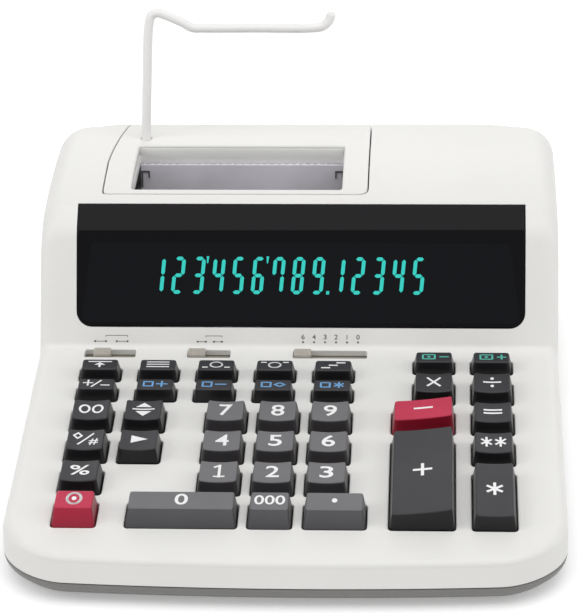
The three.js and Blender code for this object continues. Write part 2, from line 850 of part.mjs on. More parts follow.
const platenY = browY + platenBehindBrow;
const drumY = platenY - platenRadius - drumRadius - paperGap;
const rollerSpan = [frameLeft + frameSheet + rollerRoom, frameRight - frameSheet - rollerRoom];
const gearReach = platenY - drumY - gap; // the two gears' tips pass each other with the gap
const platenGearRadius = (gearReach * platenTeeth) / (platenTeeth + drumTeeth);
const drumGearRadius = gearReach - platenGearRadius;
const inkY = drumY + inkSetback;
const inkHeight = platenHeight - Math.sqrt((drumRadius + inkRadius + inkGap) ** 2 - inkSetback ** 2);
const motorY = platenY;
const motorZ = platenHeight - platenRadius - motorRadius - motorDrop;

function gear(radius, teeth, x, y, z) {
  const shape = new THREE.Shape();
  for (let i = 0; i < teeth * 4; i += 1) {
    const angle = (i * 2 * PI) / (teeth * 4);
    const reach = i % 4 < 2 ? radius : radius - toothHeight;
    const point = [y + reach * cos(angle), z + reach * sin(angle)];
    if (i === 0) shape.moveTo(...point);
    else shape.lineTo(...point);
  }
  return prism(shape, 'x', x, x + gearThickness);
}

// A roller between the side plates, with its shaft through them and a gear on the right.
function rollerWithGear(radius, y, z, gearRadius, teeth) {
  const roller = rodAlongX(radius, rollerSpan, y, z, 20);
  const shaft = rodAlongX(
    shaftRadius, [frameLeft - shaftReach, frameRight + gap + gearThickness + shaftEnd], y, z, 12,
  );
  return join(roller, shaft, gear(gearRadius, teeth, frameRight + gap, y, z));
}

function inkRoller() {
  const roller = rodAlongX(inkRadius, rollerSpan, inkY, inkHeight);
  const shaft = rodAlongX(
    shaftRadius / 2, [frameLeft - shaftEnd, frameRight + shaftEnd - gap], inkY, inkHeight, 8,
  );
  return roller.add(shaft);
}

function printMotor() {
  const right = frameRight - frameSheet - gap;
  const can = rodAlongX(motorRadius, [right - motorLength, right], motorY, motorZ, 20);
  const boss = rodAlongX(shaftRadius + motorBoss, [right - 1, frameRight - gap], motorY, motorZ, 12);
  return can.add(boss);
}

// A sheet-metal channel: floor, two side plates with shaft bores, and a rear tie.
function printFrame() {
  const y = [browY + frameFront, browY + frameBack];
  const floor = box([frameLeft, frameRight], y, [frameFoot, frameFoot + frameSheet]);
  const left = box([frameLeft, frameLeft + frameSheet], y, [frameFoot, frameTop]);
  const right = box([frameRight - frameSheet, frameRight], y, [frameFoot, frameTop]);
  const tie = box(
    [frameLeft, frameRight], [y[1] - frameSheet, y[1]], [frameFoot, inletFoot - tieDrop],
  );
  const bore = (radius, yAt, z) => rodAlongX(radius, [-caseWidth, caseWidth], yAt, z, 12);
  return cut(
    join(floor, left, right, tie),
    bore((shaftRadius + runningGap) / cos(PI / 12), platenY, platenHeight),
    bore((shaftRadius + runningGap) / cos(PI / 12), drumY, platenHeight),
    bore((shaftRadius / 2 + runningGap) / cos(PI / 12), inkY, inkHeight),
    bore((shaftRadius + motorBoss + gap) / cos(PI / 12), motorY, motorZ),
  );
}

// ---------------------------------------------------------------- upper and lower case

function paperInlet() {
  return box([inletLeft, inletRight], [rearY - 2 * wall, rearY + 1], [inletFoot, inletTop]);
}

function glandBore() {
  const radius = (glandRadius + gap) / cos(PI / 16);
  return rodAlongY(radius, glandX, [rearY - wallTool, rearY + wallTool], glandHeight);
}

function caseTop() {
  const shell = cut(caseBody(0), caseBody(wall))
    .intersect(box([-high, high], [-high, 2 * high], [splitHeight, high]));
  const bosses = bossPlaces().map(([x, y]) => (
    rodAlongZ(bossRadius, x, y, [boardTop + gap, -wall / 2], 8)
  ));
  const deckHoles = [...keys.map(keyHole), ...slots.map(slotHole)];
  const bossSolid = placed(join(...bosses), deckFrame);
  const holeSolid = placed(join(...deckHoles), deckFrame);
  const opened = cut(
    shell.add(bossSolid), holeSolid, facePrism(gap, -9, 6),
    coverBlock(coverGap, coverFoot - coverGap), paperInlet(), glandBore(),
    ...coverBarrels(hingeRadius + gap, gap),
  );
  return join(opened, ...caseBarrels(hingeRadius, 0), ...hingePins(hingePin));
}

// Posts of the lower case that carry the main board, cut off square to the deck.
function boardPosts() {
  const posts = bossPlaces().map(([x, y]) => (
    rodAlongZ(bossRadius, x, y, [boardFoot - gap - 60, boardFoot - gap], 8)
  ));
  const above = box([-high, high], [-high, 2 * high], [floorTop - trayFloor / 2, high]);
  return placed(join(...posts), deckFrame).intersect(above);
}

function framePosts() {
  const side = [frameLeft + postInset, frameRight - postInset];
  const rows = [browY + frameFront + postInset, browY + frameBack - postInset];
  return side.flatMap((x) => rows.map((y) => (
    rodAlongZ(postRadius, x, y, [floorTop - postBond, frameFoot - gap], 10)
  )));
}

function transformerRibs() {
  const reach = transformerSize.x / 2;
  const y = browY + transformerBehindBrow;
  return [-1, 1].map((sideOf) => box(
    [transformerX - reach, transformerX + reach],
    [y + sideOf * ribPlace - ribWidth / 2, y + sideOf * ribPlace + ribWidth / 2],
    [floorTop - postBond, floorTop + ribHeight],
  ));
}

function caseBottom() {
  const below = box([-high, high], [-high, 2 * high], [deep, trayTop]);
  const lipBand = box([-high, high], [-high, 2 * high], [trayTop - lipReach, splitHeight + lipReach]);
  const lipInside = prism(polygonOf(inset(planOutline(), wall + gap + lipThickness)), 'z', deep, high);
  const lip = cut(caseBody(wall + gap), lipInside).intersect(lipBand);
  const cavity = trayBody(wall).intersect(box([-high, high], [-high, 2 * high], [floorTop, high]));
  const tray = cut(trayBody(0).intersect(below), cavity);
  return join(tray, lip, boardPosts(), ...framePosts(), ...transformerRibs());
}

// ---------------------------------------------------------------- power parts and feet

function powerTransformer() {
  const { x: width, y: depth, z: height } = transformerSize;
  const y = browY + transformerBehindBrow;
  const low = floorTop + ribHeight + gap;
  const core = box(
    [transformerX - width / 2, transformerX + width / 2],
    [y - depth / 2 + coreInset, y + depth / 2 - coreInset], [low, low + height],
  );
  const coil = box(
    [transformerX - width / 2 + coilInset, transformerX + width / 2 - coilInset],
    [y - depth / 2, y + depth / 2], [low + coilInset, low + height - coilInset],
  );
  return core.add(coil);
}

function cordGland() {
  const barrel = rodAlongY(
    glandRadius, glandX, [rearY - wall - glandInside, rearY + gap + bond], glandHeight,
  );
  const flange = rodAlongY(glandFlange, glandX, [rearY + gap, rearY + glandReach], glandHeight);
  const bore = rodAlongY(glandBoreRadius, glandX, [rearY - wallTool, rearY + wallTool], glandHeight, 12);
  return cut(barrel.add(flange), bore);
}

const footPlaces = {
  foot_front_left: [footSide - half, footFront],
  foot_front_right: [half - footSide, footFront],
  foot_rear_left: [footSide - half, rearY - footRear],
  foot_rear_right: [half - footSide, rearY - footRear],
};

// ---------------------------------------------------------------- assembly

const calculator = new THREE.Group();
const deck = new THREE.Group();
const face = new THREE.Group();
const arm = new THREE.Group();
deck.applyMatrix4(deckFrame);
face.applyMatrix4(faceFrame);
arm.applyMatrix4(armFrame);
calculator.add(deck, face, arm);

function addPart(parent, name, solid, colour, roughness, metalness = 0) {
  const material = new THREE.MeshStandardMaterial({ color: colour, roughness, metalness });
  const mesh = new THREE.Mesh(geometryOf(solid), material);
  mesh.name = name;
  parent.add(mesh);
  return mesh;
}

const caseWhite = 0xeceae5;
const steel = 0xa9adb0;

addPart(calculator, 'top_case', caseTop(), caseWhite, 0.5);
addPart(calculator, 'bottom_case', caseBottom(), 0x848280, 0.55);
addPart(calculator, 'display_window', displayWindow(), 0x101014, 0.08);
addPart(face, 'display_tube', displayTube(), 0x2a3236, 0.15);
addPart(calculator, 'printer_cover', printerCover(), caseWhite, 0.5);
addPart(calculator, 'tear_plate', tearPlate(), 0xa5a2ac, 0.25);
addPart(arm, 'paper_arm', paperArm(), 0xeeede9, 0.35);
addPart(calculator, 'printer_frame', printFrame(), steel, 0.35, 0.9);
const platen = rollerWithGear(platenRadius, platenY, platenHeight, platenGearRadius, platenTeeth);
const drum = rollerWithGear(drumRadius, drumY, platenHeight, drumGearRadius, drumTeeth);
addPart(calculator, 'platen_roller', platen, 0x1c1c1e, 0.8);
addPart(calculator, 'type_drum', drum, 0x55585c, 0.5);
addPart(calculator, 'ink_roller', inkRoller(), 0x3a1f5c, 0.9);
addPart(calculator, 'printer_motor', printMotor(), steel, 0.3, 0.9);
addPart(calculator, 'power_transformer', powerTransformer(), 0x4b4a48, 0.5, 0.5);
addPart(calculator, 'cord_gland', cordGland(), 0x222224, 0.6);
addPart(deck, 'main_board', mainBoard(), 0x2f6b3c, 0.5);
addPart(deck, 'key_mat', keyMat(), 0xb9bcbc, 0.8);

for (const [name, [x, y]] of Object.entries(footPlaces)) {
  const foot = rodAlongZ(footRadius, x, y, [0, footHeight - gap], 24);
  addPart(calculator, name, foot, 0x2b2b2d, 0.9);
}

for (const key of keys) {
  addPart(deck, key.name, keySolid(key), key.colour, 0.4).position.set(key.x, key.y, 0);
}

for (const slot of slots) {
  const knob = addPart(deck, slot.name, knobSolid(), 0xb4b0a8, 0.5);
  knob.position.set(knobX(slot), slotFront + slotDepth / 2, 0);
}

// The box of the whole object runs from the bowed front to the back of the cover's hinges.
calculator.position.y = (noseBow - rearY - hingeOut - hingeRadius) / 2;

export default calculator;
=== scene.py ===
# A printing desk calculator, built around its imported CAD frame: smooth moulded case, printer
# cover, display window with its figures, key caps with printed legends and the wire paper arm.
# Lengths are in millimetres and become metres where a mesh is made.
import json
from math import atan2, cos, pi, radians, sin, sqrt, tan

import bmesh
import bpy
from mathutils import Matrix, Vector


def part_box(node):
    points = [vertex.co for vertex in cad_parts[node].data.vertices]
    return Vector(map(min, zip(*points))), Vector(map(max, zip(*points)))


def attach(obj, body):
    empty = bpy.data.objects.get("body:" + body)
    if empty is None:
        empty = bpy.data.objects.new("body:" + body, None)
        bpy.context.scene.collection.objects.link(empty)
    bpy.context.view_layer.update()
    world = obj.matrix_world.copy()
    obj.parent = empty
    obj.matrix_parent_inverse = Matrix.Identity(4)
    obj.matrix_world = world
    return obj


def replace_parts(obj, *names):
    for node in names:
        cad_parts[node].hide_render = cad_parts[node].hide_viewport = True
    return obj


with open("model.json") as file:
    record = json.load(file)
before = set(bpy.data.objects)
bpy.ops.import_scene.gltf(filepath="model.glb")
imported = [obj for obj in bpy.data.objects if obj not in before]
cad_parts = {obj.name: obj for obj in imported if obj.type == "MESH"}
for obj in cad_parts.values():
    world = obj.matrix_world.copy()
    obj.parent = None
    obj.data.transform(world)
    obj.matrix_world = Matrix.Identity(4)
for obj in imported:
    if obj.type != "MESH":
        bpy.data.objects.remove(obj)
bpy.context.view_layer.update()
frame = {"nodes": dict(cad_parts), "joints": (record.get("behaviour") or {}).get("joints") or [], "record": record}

MM = 0.001
joints = {joint["name"]: joint for joint in frame["joints"]}
slots = {part["node"]: part["material_slot"] for part in frame["record"]["subparts"]}

# ---------- driving sizes

WALL = 2.5
NOSE_BOW = 3.0            # the front wall stands this far ahead of the ridge at its middle
FRONT_CORNER = 25.0
REAR_CORNER = 28.0
CORNER_PULL = 0.55        # how far a corner's handles reach
BOW_SIDE = -0.6           # where the bow meets the front corners
FRONT_SLANT = 2.6         # the front wall leans back this far up to the ridge

DECK_LENGTH = 133.6
FACE_TILT = radians(63)
FACE_LENGTH = 46.0
BROW_TILT = radians(41.5)
BROW_LENGTH = 11.7
CREASE_REACH = 2.0        # the rounding of the bend at the display's foot reaches this far
BEND_REACH = 4.0          # and the rounding of the two bends above it
SHOULDER_SETBACK = 22.5
SHOULDER_RISE = 4.2
CROWN_RISE = 2.2
CROWN_AHEAD = 7.0         # the top's crown lies this far ahead of its middle
RUNOUT = 10.0             # the top line goes on this far past the case

RIDGE_ROUND = 2.2         # edge roundings of the case, seen in section
DECK_ROUND = 4.6
TOP_ROUND = 9.5
REAR_ROUND = 18.0
ARC_STEPS = 8
CORNER_STEPS = 18
CUT = 0.01                # how far a cutter's edge is rounded where it is meant to be sharp

STEM_REACH = 6.8          # a key's stem ends this far below the deck
SKIRT = 2.4               # a key's skirt is seen this far below the deck
KEY_GAP = 0.45
KEY_CORNER = 1.3
HOLE_ROUND = 0.45
SIDE_DRAFT = 0.95         # a cap's top lies this far inside its foot at the sides
DRAFTS = (1.1, 0.6)       # and at the front and the back
ROW_DRAFTS = (3.3, 0.3)   # the first row's, front and back
CAP_EDGE = 0.55
DISH = 0.75
SWOOP_LEFT = 6.0          # the low end of a swooped cap
PRINT_LIFT = 0.04

SLOT_ROOM = 0.3
SLOT_CORNER = 0.8
SLOT_ROUND = 0.3
SHUTTER = 0.6             # the plate under a slot: its sheet, lap over the slot's edges and play
SHUTTER_LAP = 0.8
SHUTTER_PLAY = 0.4
RIBS = 4
RIB_PITCH = 1.5
RIB_WIDTH = 0.5
RIB_RISE = 0.18

WINDOW_LEFT = 14.9        # the window's edges, in from the case's sides
WINDOW_RIGHT = 13.2
WINDOW_FOOT = 8.2
WINDOW_CORNER = 6.0
WINDOW_GAP = 0.25
PANE = 2.4
VIEW_EDGE = (             # the darker view's edge: in from the window's side, and up the face
    (4, 10.0), (2.6, 10.6), (2, 12.0), (5.6, 40.6), (7, 41.4),
)

DIGIT_HEIGHT = 14.7
DIGIT_WIDTH = 3.3
DIGIT_PITCH = 7.9
DIGIT_FOOT = 21.2
DIGIT_LEAN = radians(5.5)
DIGIT_STROKE = 1.45
DIGIT_GAP = 0.16
LAST_DIGIT = 46.9
APOSTROPHE = (            # outlines of the marks between figures
    (0.1, -2.6), (0.6, -2.4), (1.0, 0.2), (0, 0.2),
)
POINT = ((-0.2, 0), (1.0, 0), (1.1, 1.3), (-0.1, 1.3))

COVER_GAP = 0.5
COVER_SHEET = 2.4
COVER_FOOT = 58.0
COVER_LEFT = 24.0
COVER_RIGHT = 27.0
COVER_FRONT = 6.2
COVER_CORNER = 4.0
COVER_ROUND = 0.35
COVER_TAPER = 8.0         # the left edge has moved in this far at the rear
EXIT_LEFT = -67.5
EXIT_RIGHT = 16.8
EXIT_FRONT = 9.2
EXIT_BACK = 44.3
EXIT_CORNER = 1.2
EXIT_ROUND = 0.9
CHUTE_DEPTH = 9.0
CHUTE_WALL = 1.6
HINGE_RADIUS = 2.2
HINGE_PIN = 1.0
HINGE_LENGTH = 6.0
HINGE_INSET = 8.0
HINGE_PLAY = 0.3
GLAND_BARREL = 6.0
GLAND_ROOM = 0.3

WIRE = 1.92               # the arm's radius
ARM_PEAK = 52.05
ARM_BAR = 45.8
ARM_REACH = 76.6
SOCKET_DEPTH = 10.0
SOCKET_ROOM = 0.15
SOCKET_WALL = 1.8

HOOK_IN = 0.6             # the tear plate's wire hooks: in from its ends and down from its top
HOOK_DOWN = 3.2
HOOK_LENGTH = 6.5
HOOK_WIDTH = 2.8
HOOK_END = 2.6
HOOK_WIRE = 0.55

SHOWN = "12345678912345"
MARKS = ((2, APOSTROPHE, DIGIT_HEIGHT), (5, APOSTROPHE, DIGIT_HEIGHT), (8, POINT, 0))
SEGMENTS = {"1": "bc", "2": "abged", "3": "abgcd", "4": "fgbc", "5": "afgcd",
            "6": "afgedc", "7": "fabc", "8": "abcdefg", "9": "abcdfg"}
FIRST_ROW = ("key_clear", "key_zero", "key_triple_zero", "key_point")
SWOOPED = ("key_minus", "key_plus")


# ---------- places read from the frame

def corners(node):
    """A CAD node's lowest and highest corners, in millimetres."""
    low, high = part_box(node)
    return low / MM, high / MM


def record_box(name):
    """An opening of the record, in millimetres."""
    found = next(o for o in frame["record"]["physics"]["openings"] if o["name"] == name)
    low, high = found["box_m"]
    return Vector(low) / MM, Vector(high) / MM


case_low, case_high = corners("top_case")
tray_low, tray_high = corners("bottom_case")
HALF = case_high.x
RIDGE = case_low.y + NOSE_BOW
REAR = tray_high.y
SPLIT = case_low.z

deck_normal = -Vector(joints["key_1_press"]["axis"]).normalized()
deck_tilt = atan2(-deck_normal.y, deck_normal.z)
deck_along = Vector((0, cos(deck_tilt), sin(deck_tilt)))
stem_foot = min(deck_normal.dot(v.co) for v in frame["nodes"]["key_1"].data.vertices) / MM
deck_level = stem_foot + STEM_REACH
ridge_z = (deck_level - deck_normal.y * RIDGE) / deck_normal.z


def frame_at(origin, along_y, normal):
    columns = Matrix((Vector((1, 0, 0)), along_y, normal)).transposed().to_4x4()
    return Matrix.Translation(origin) @ columns


deck_frame = frame_at(Vector((0, RIDGE, ridge_z)), deck_along, deck_normal)
deck_back = deck_frame.inverted()

face_up = Vector((cos(FACE_TILT), sin(FACE_TILT)))      # in (Y, Z), as the case's top line
brow_up = Vector((cos(BROW_TILT), sin(BROW_TILT)))
crease = Vector((RIDGE, ridge_z)) + DECK_LENGTH * Vector((cos(deck_tilt), sin(deck_tilt)))
bend = crease + FACE_LENGTH * face_up
brow = bend + BROW_LENGTH * brow_up
shoulder = Vector((REAR - SHOULDER_SETBACK, brow.y + SHOULDER_RISE))

exit_front = brow.x + EXIT_FRONT
exit_back = brow.x + EXIT_BACK
hinge_y, hinge_z = (value / MM for value in joints["printer_cover_hinge"]["pos_m"][1:])
hinge_starts = [(COVER_LEFT - HALF + COVER_TAPER + HINGE_INSET, 1), (COVER_RIGHT - HINGE_INSET, -1)]
arm_joint = joints["paper_arm_swivel"]
arm_axis = Vector(arm_joint["axis"]).normalized()
arm_frame = frame_at(
    Vector(arm_joint["pos_m"]) / MM, Vector((0, arm_axis.z, -arm_axis.y)), arm_axis)


# ---------- mesh helpers

def linked(name, data):
    """A new object in the scene."""
    made = bpy.data.objects.new(name, data)
    bpy.context.scene.collection.objects.link(made)
    return made


def piece(name, points, faces, body=None, material=None, slot=None, smooth=True, angle=35):
    """A mesh object from points in millimetres."""
    mesh = bpy.data.meshes.new(name)
    mesh.from_pydata([Vector(p) * MM for p in points], [], faces)
    mesh.validate()
    shape = bmesh.new()
    shape.from_mesh(mesh)
    bmesh.ops.recalc_face_normals(shape, faces=shape.faces)
    shape.to_mesh(mesh)
    shape.free()
    made = linked(name, mesh)
    if body:
        dress(made, body, material, smooth, angle)
    return made


def dress(made, body, material, smooth=True, angle=35):
    """Gives a piece its body, material and shading."""
    paint(made, material)
    if smooth:
        made.data.shade_smooth()
        made.data.set_sharp_from_angle(angle=radians(angle))
    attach(made, body)


def paint(made, material):
    """Gives a piece one material in place of its own."""
    made.data.materials.clear()
    made.data.materials.append(material)


def settle(made):
    """Applies a piece's modifiers."""
    graph = bpy.context.evaluated_depsgraph_get()
    mesh = bpy.data.meshes.new_from_object(made.evaluated_get(graph))
    made.modifiers.clear()
    made.data = mesh
    return made


def combine(made, operation, *tools):
    """Cuts, joins or intersects a closed piece with others, which are used up."""
    for tool in tools:
        step = made.modifiers.new("solid", "BOOLEAN")
        step.operation = operation
        step.solver = "MANIFOLD"
        step.object = tool
        settle(made)
        bpy.data.objects.remove(tool)
    return made


def weigh_normals(made):
    """Keeps large flat faces flat beside small round ones."""
    step = made.modifiers.new("normals", "WEIGHTED_NORMAL")
    step.keep_sharp = True
    step.weight = 80
    return made


def soften(made, width, angle=30, segments=2):
    """Rounds a piece's edges a little."""
    step = made.modifiers.new("edge", "BEVEL")
    step.width = width * MM
    step.segments = segments
    step.limit_method = "ANGLE"
    step.angle_limit = radians(angle)


def bezier(points, steps, start=0.0):
    """Points and tangents of a quadratic or cubic curve."""
    found = []
    for i in range(steps + 1):
        t = start + (1 - start) * i / steps
        level = [Vector(p) for p in points]
        while len(level) > 2:
            level = [a.lerp(b, t) for a, b in zip(level, level[1:])]
        found.append((level[0].lerp(level[1], t), (level[1] - level[0]).normalized()))
    return found


def soft_path(points, steps=6):
    """A path with rounded corners, from (place, place, reach of the rounding)."""
    path = []
    for i, (a, b, reach) in enumerate(points):
        here = Vector((a, b))
        if not reach:
            path.append(here)
            continue
        before = Vector(points[i - 1][:2])
        after = Vector(points[i + 1][:2])
        start = here + (before - here).normalized() * reach
        end = here + (after - here).normalized() * reach
        path += [point for point, _ in bezier([start, here, end], steps)]
    return path


def rounded_rectangle(x0, x1, y0, y1, radius, steps=4, across=1, along=1):
    """An outline with round corners, anticlockwise, with its straight sides divided."""
    loop = []
    for cx, cy, start in (
        (x1 - radius, y0 + radius, -pi / 2), (x1 - radius, y1 - radius, 0),
        (x0 + radius, y1 - radius, pi / 2), (x0 + radius, y0 + radius, pi),
    ):
        for i in range(steps + 1):
            turn = start + i * pi / 2 / steps
            loop.append((cx + radius * cos(turn), cy + radius * sin(turn)))
    corner = steps + 1
    divided = []
    for side, count in enumerate((along, across, along, across)):
        divided += loop[side * corner:(side + 1) * corner]
        a, b = Vector(loop[(side + 1) * corner - 1]), Vector(loop[(side + 1) * corner % len(loop)])
        divided += [tuple(a.lerp(b, k / count)) for k in range(1, count)]
    return divided


def grown(loop, distance):
    """An anticlockwise outline moved outwards, corner by corner."""
    count = len(loop)
    moved = []
    for i in range(count):
        before, here, after = (Vector(loop[(i + k) % count][:2]) for k in (-1, 0, 1))
        first = (here - before).normalized()
        second = (after - here).normalized()
        a = Vector((first.y, -first.x))
        b = Vector((second.y, -second.x))
        moved.append(here + (a + b) * (distance / (1 + a.dot(b))))
    return moved


def stacked(rings, bottom=True, top=True):
    """Points and faces of a closed body through rings of equal count."""
    count = len(rings[0])
    points = [p for ring in rings for p in ring]
    faces = []
    for level in range(len(rings) - 1):
        for i in range(count):
            j = (i + 1) % count
            low, high = level * count, (level + 1) * count
            faces.append((low + i, low + j, high + j, high + i))
    if bottom:
        faces.append(tuple(reversed(range(count))))
    if top:
        faces.append(tuple(range((len(rings) - 1) * count, len(rings) * count)))
    return points, faces


def merged(*shapes):
    """Several (points, faces) as one."""
    points, faces = [], []
    for more_points, more_faces in shapes:
        start = len(points)
        points += list(more_points)
        faces += [tuple(start + i for i in face) for face in more_faces]
    return points, faces


def moved_by(shape, matrix):
    points, faces = shape
    return [matrix @ Vector(p) for p in points], faces


def block(x, y, z, edge=0.0, steps=2):
    """A box with rounded vertical edges and softened rims."""
    radius = max(edge, 0.01)
    rings = []
    profile = [(radius * (1 - sin(a)), radius * (1 - cos(a))) for a in
               [i * pi / 2 / steps for i in range(steps + 1)]]
    outline = rounded_rectangle(x[0], x[1], y[0], y[1], radius * 1.01, steps)
    for inset, rise in profile:
        rings.append([(px, py, z[0] + rise) for px, py in grown(outline, -inset)])
    for inset, rise in reversed(profile):
        rings.append([(px, py, z[1] - rise) for px, py in grown(outline, -inset)])
    return stacked(rings)


def turned(profile, sides=48):
    """A body of revolution about Z from (radius, height) pairs, closed at both ends."""
    rings = [
        [(r * cos(2 * pi * i / sides), r * sin(2 * pi * i / sides), z) for i in range(sides)]
        for r, z in profile
    ]
    return stacked(rings)


def along_x(x, y, z):
    """Takes Z to X, at a place."""
    return Matrix.Translation((x, y, z)) @ Matrix.Rotation(pi / 2, 4, "Y")


def along_y(x, y, z):
    """Takes Z to Y, at a place."""
    return Matrix.Translation((x, y, z)) @ Matrix.Rotation(-pi / 2, 4, "X")


# ---------- materials

def feed(tree, node, inputs):
    """Sets a node's inputs: a socket is linked, and anything else is the input's value."""
    for name, value in inputs.items():
        if isinstance(value, bpy.types.NodeSocket):
            tree.links.new(value, node.inputs[name])
        else:
            node.inputs[name].default_value = value


def added(tree, kind, inputs, output=0, **settings):
    """One output of a new shader node."""
    node = tree.nodes.new("ShaderNode" + kind)
    for name, value in settings.items():
        setattr(node, name, value)
    feed(tree, node, inputs)
    return node.outputs[output]


def noise(tree, place, scale, detail):
    return added(tree, "TexNoise", {"Vector": place, "Scale": scale, "Detail": detail}, "Fac")


def clouded(tree, place, colour, spread, scale):
    """A colour that varies a little in broad clouds."""
    ramp = tree.nodes.new("ShaderNodeValToRGB")
    for end, position, share in zip(ramp.color_ramp.elements, (0.3, 0.7), (-spread, spread)):
        end.position = position
        end.color = (*[min(1, c * (1 + share)) for c in colour], 1)
    feed(tree, ramp, {"Fac": noise(tree, place, scale, 3)})
    return ramp.outputs["Color"]


def finish(
    name, colour, roughness, spread=0.02, grain=0.1, grain_scale=2600, cloud=18,
    metallic=0.0, coat=0.0, rough_spread=0.05, specular=0.5, sides=None,
):
    """A moulded, painted or metal surface: a cloudy tint, an uneven gloss and a fine grain.

    Where a colour is given for the sides, faces turned away from the deck's normal have it: painted shade on a
    cap's front and sides, where less light falls.
    """
    material = bpy.data.materials.new(name)
    material.use_nodes = True
    material.diffuse_color = (*colour, 1)
    tree = material.node_tree
    place = added(tree, "TexCoord", {}, "Object")
    tint = clouded(tree, place, colour, spread, cloud)
    # painted shade: faces that turn away from the deck's normal blend into the darker sides colour
    if sides:
        normal = added(tree, "NewGeometry", {}, "Normal")
        painted_shade_facing = added(tree, "VectorMath", {0: normal, 1: deck_normal}, "Value",
                       operation="DOT_PRODUCT")
        share = added(tree, "MapRange", {"Value": painted_shade_facing, "From Min": 0.1, "From Max": 0.85})
        tint = added(tree, "Mix", {"A": (*sides, 1), "B": tint, "Factor": share}, "Result",
                     data_type="RGBA")
    fine = noise(tree, place, grain_scale, 2)
    gloss = added(tree, "MapRange", {
        "Value": fine, "To Max": roughness + rough_spread,
        "To Min": max(0.02, roughness - rough_spread)})
    bump = added(tree, "Bump", {"Height": fine, "Strength": grain, "Distance": 0.00005})
    feed(tree, tree.nodes["Principled BSDF"], {
        "Base Color": tint, "Metallic": metallic, "Roughness": gloss, "Normal": bump,
        "Specular IOR Level": specular, "Coat Weight": coat, "Coat Roughness": 0.04})
    return material


def glowing(name, colour, strength):
    """A lit segment, a little uneven across its length."""
    material = finish(name, colour, 0.4)
    tree = material.node_tree
    shader = tree.nodes["Principled BSDF"]
    tint = shader.inputs["Base Color"].links[0].from_socket
    feed(tree, shader, {"Emission Color": tint, "Emission Strength": strength})
    return material


def glass(name, colour, spread):
    """A dark pane with soft reflections."""
    return finish(name, colour, 0.07, spread, 0.02, 60, 9, rough_spread=0.02, specular=0.1)


def key_plastic(name, colour, roughness, spread, sides):
    return finish(name, colour, roughness, spread, 0.2, 3200, 60, specular=0.3, sides=sides)


def ink(name, colour, spread=0.05):
    return finish(name, colour, 0.5, spread, 0.1, 3000)


case_white = finish("case_white", (0.80, 0.793, 0.772), 0.46, 0.012, 0.22)
# A lighter copy of the case white for the paper exit's walls: painted light where they lie in shade.
chute_lit_white = finish("chute_lit_white", (0.95, 0.945, 0.93), 0.4, 0.012, 0.2)
tray_grey = finish("tray_grey", (0.212, 0.208, 0.200), 0.5, 0.03, 0.25)
window_black = glass("window_black", (0.0010, 0.0010, 0.0022), 0.25)
view_dark = glass("view_dark", (0.0026, 0.0034, 0.0052), 0.12)
tear_tint = finish("tear_tint", (0.80, 0.775, 0.84), 0.22, 0.1, 0.05, 900, 40, coat=0.4)
arm_coat = finish("arm_coat", (0.86, 0.855, 0.84), 0.32, 0.02, 0.12, 1800)
# Each key colour comes with a much darker colour for its caps' fronts and sides: painted shade where less light
# falls.
key_plastics = {
    "key_black": key_plastic("key_dark", (0.030, 0.029, 0.034), 0.34, 0.1, (0.003, 0.003, 0.0035)),
    "key_grey": key_plastic("key_grey", (0.150, 0.148, 0.156), 0.38, 0.05, (0.017, 0.014, 0.016)),
    "key_red": key_plastic("key_red", (0.50, 0.020, 0.066), 0.34, 0.06, (0.20, 0.004, 0.014)),
}
ink_white = ink("ink_white", (0.86, 0.86, 0.86), 0.02)
ink_blue = ink("ink_blue", (0.17, 0.40, 0.72))
ink_teal = ink("ink_teal", (0.10, 0.52, 0.42))
ink_grey = ink("ink_grey", (0.10, 0.10, 0.105))
knob_beige = finish("knob_beige", (0.44, 0.41, 0.36), 0.45, 0.04, 0.15)
# A darker copy of the knob beige for the plates under the slots: painted shade in the recesses.
slot_shaded_beige = finish("slot_shaded_beige", (0.30, 0.28, 0.23), 0.55, 0.04, 0.15)
digit_glow = glowing("digit_glow", (0.014, 0.40, 0.35), 0.62)
steel = finish("steel", (0.60, 0.61, 0.62), 0.34, 0.06, 0.3, 1200, 40, metallic=1.0)
rubber = finish("rubber", (0.016, 0.016, 0.017), 0.72, 0.15, 0.5, 1500, 60)
drum_grey = finish("drum_grey", (0.07, 0.075, 0.085), 0.42, 0.1, 0.3, 900, 60)
felt = finish("felt", (0.035, 0.012, 0.085), 0.95, 0.3, 1.0, 2200, 90)
iron = finish("iron", (0.065, 0.06, 0.055), 0.5, 0.2, 0.4, 800, 50, metallic=0.6)
board_green = finish("board_green", (0.012, 0.11, 0.035), 0.38, 0.15, 0.2, 700, 30)
mat_grey = finish("mat_grey", (0.47, 0.48, 0.47), 0.8, 0.04, 0.4, 900, 40)
tube_glass = finish("tube_glass", (0.02, 0.03, 0.035), 0.08, 0.2, 0.05, 90, 20, coat=0.8)


# ---------- case surfaces

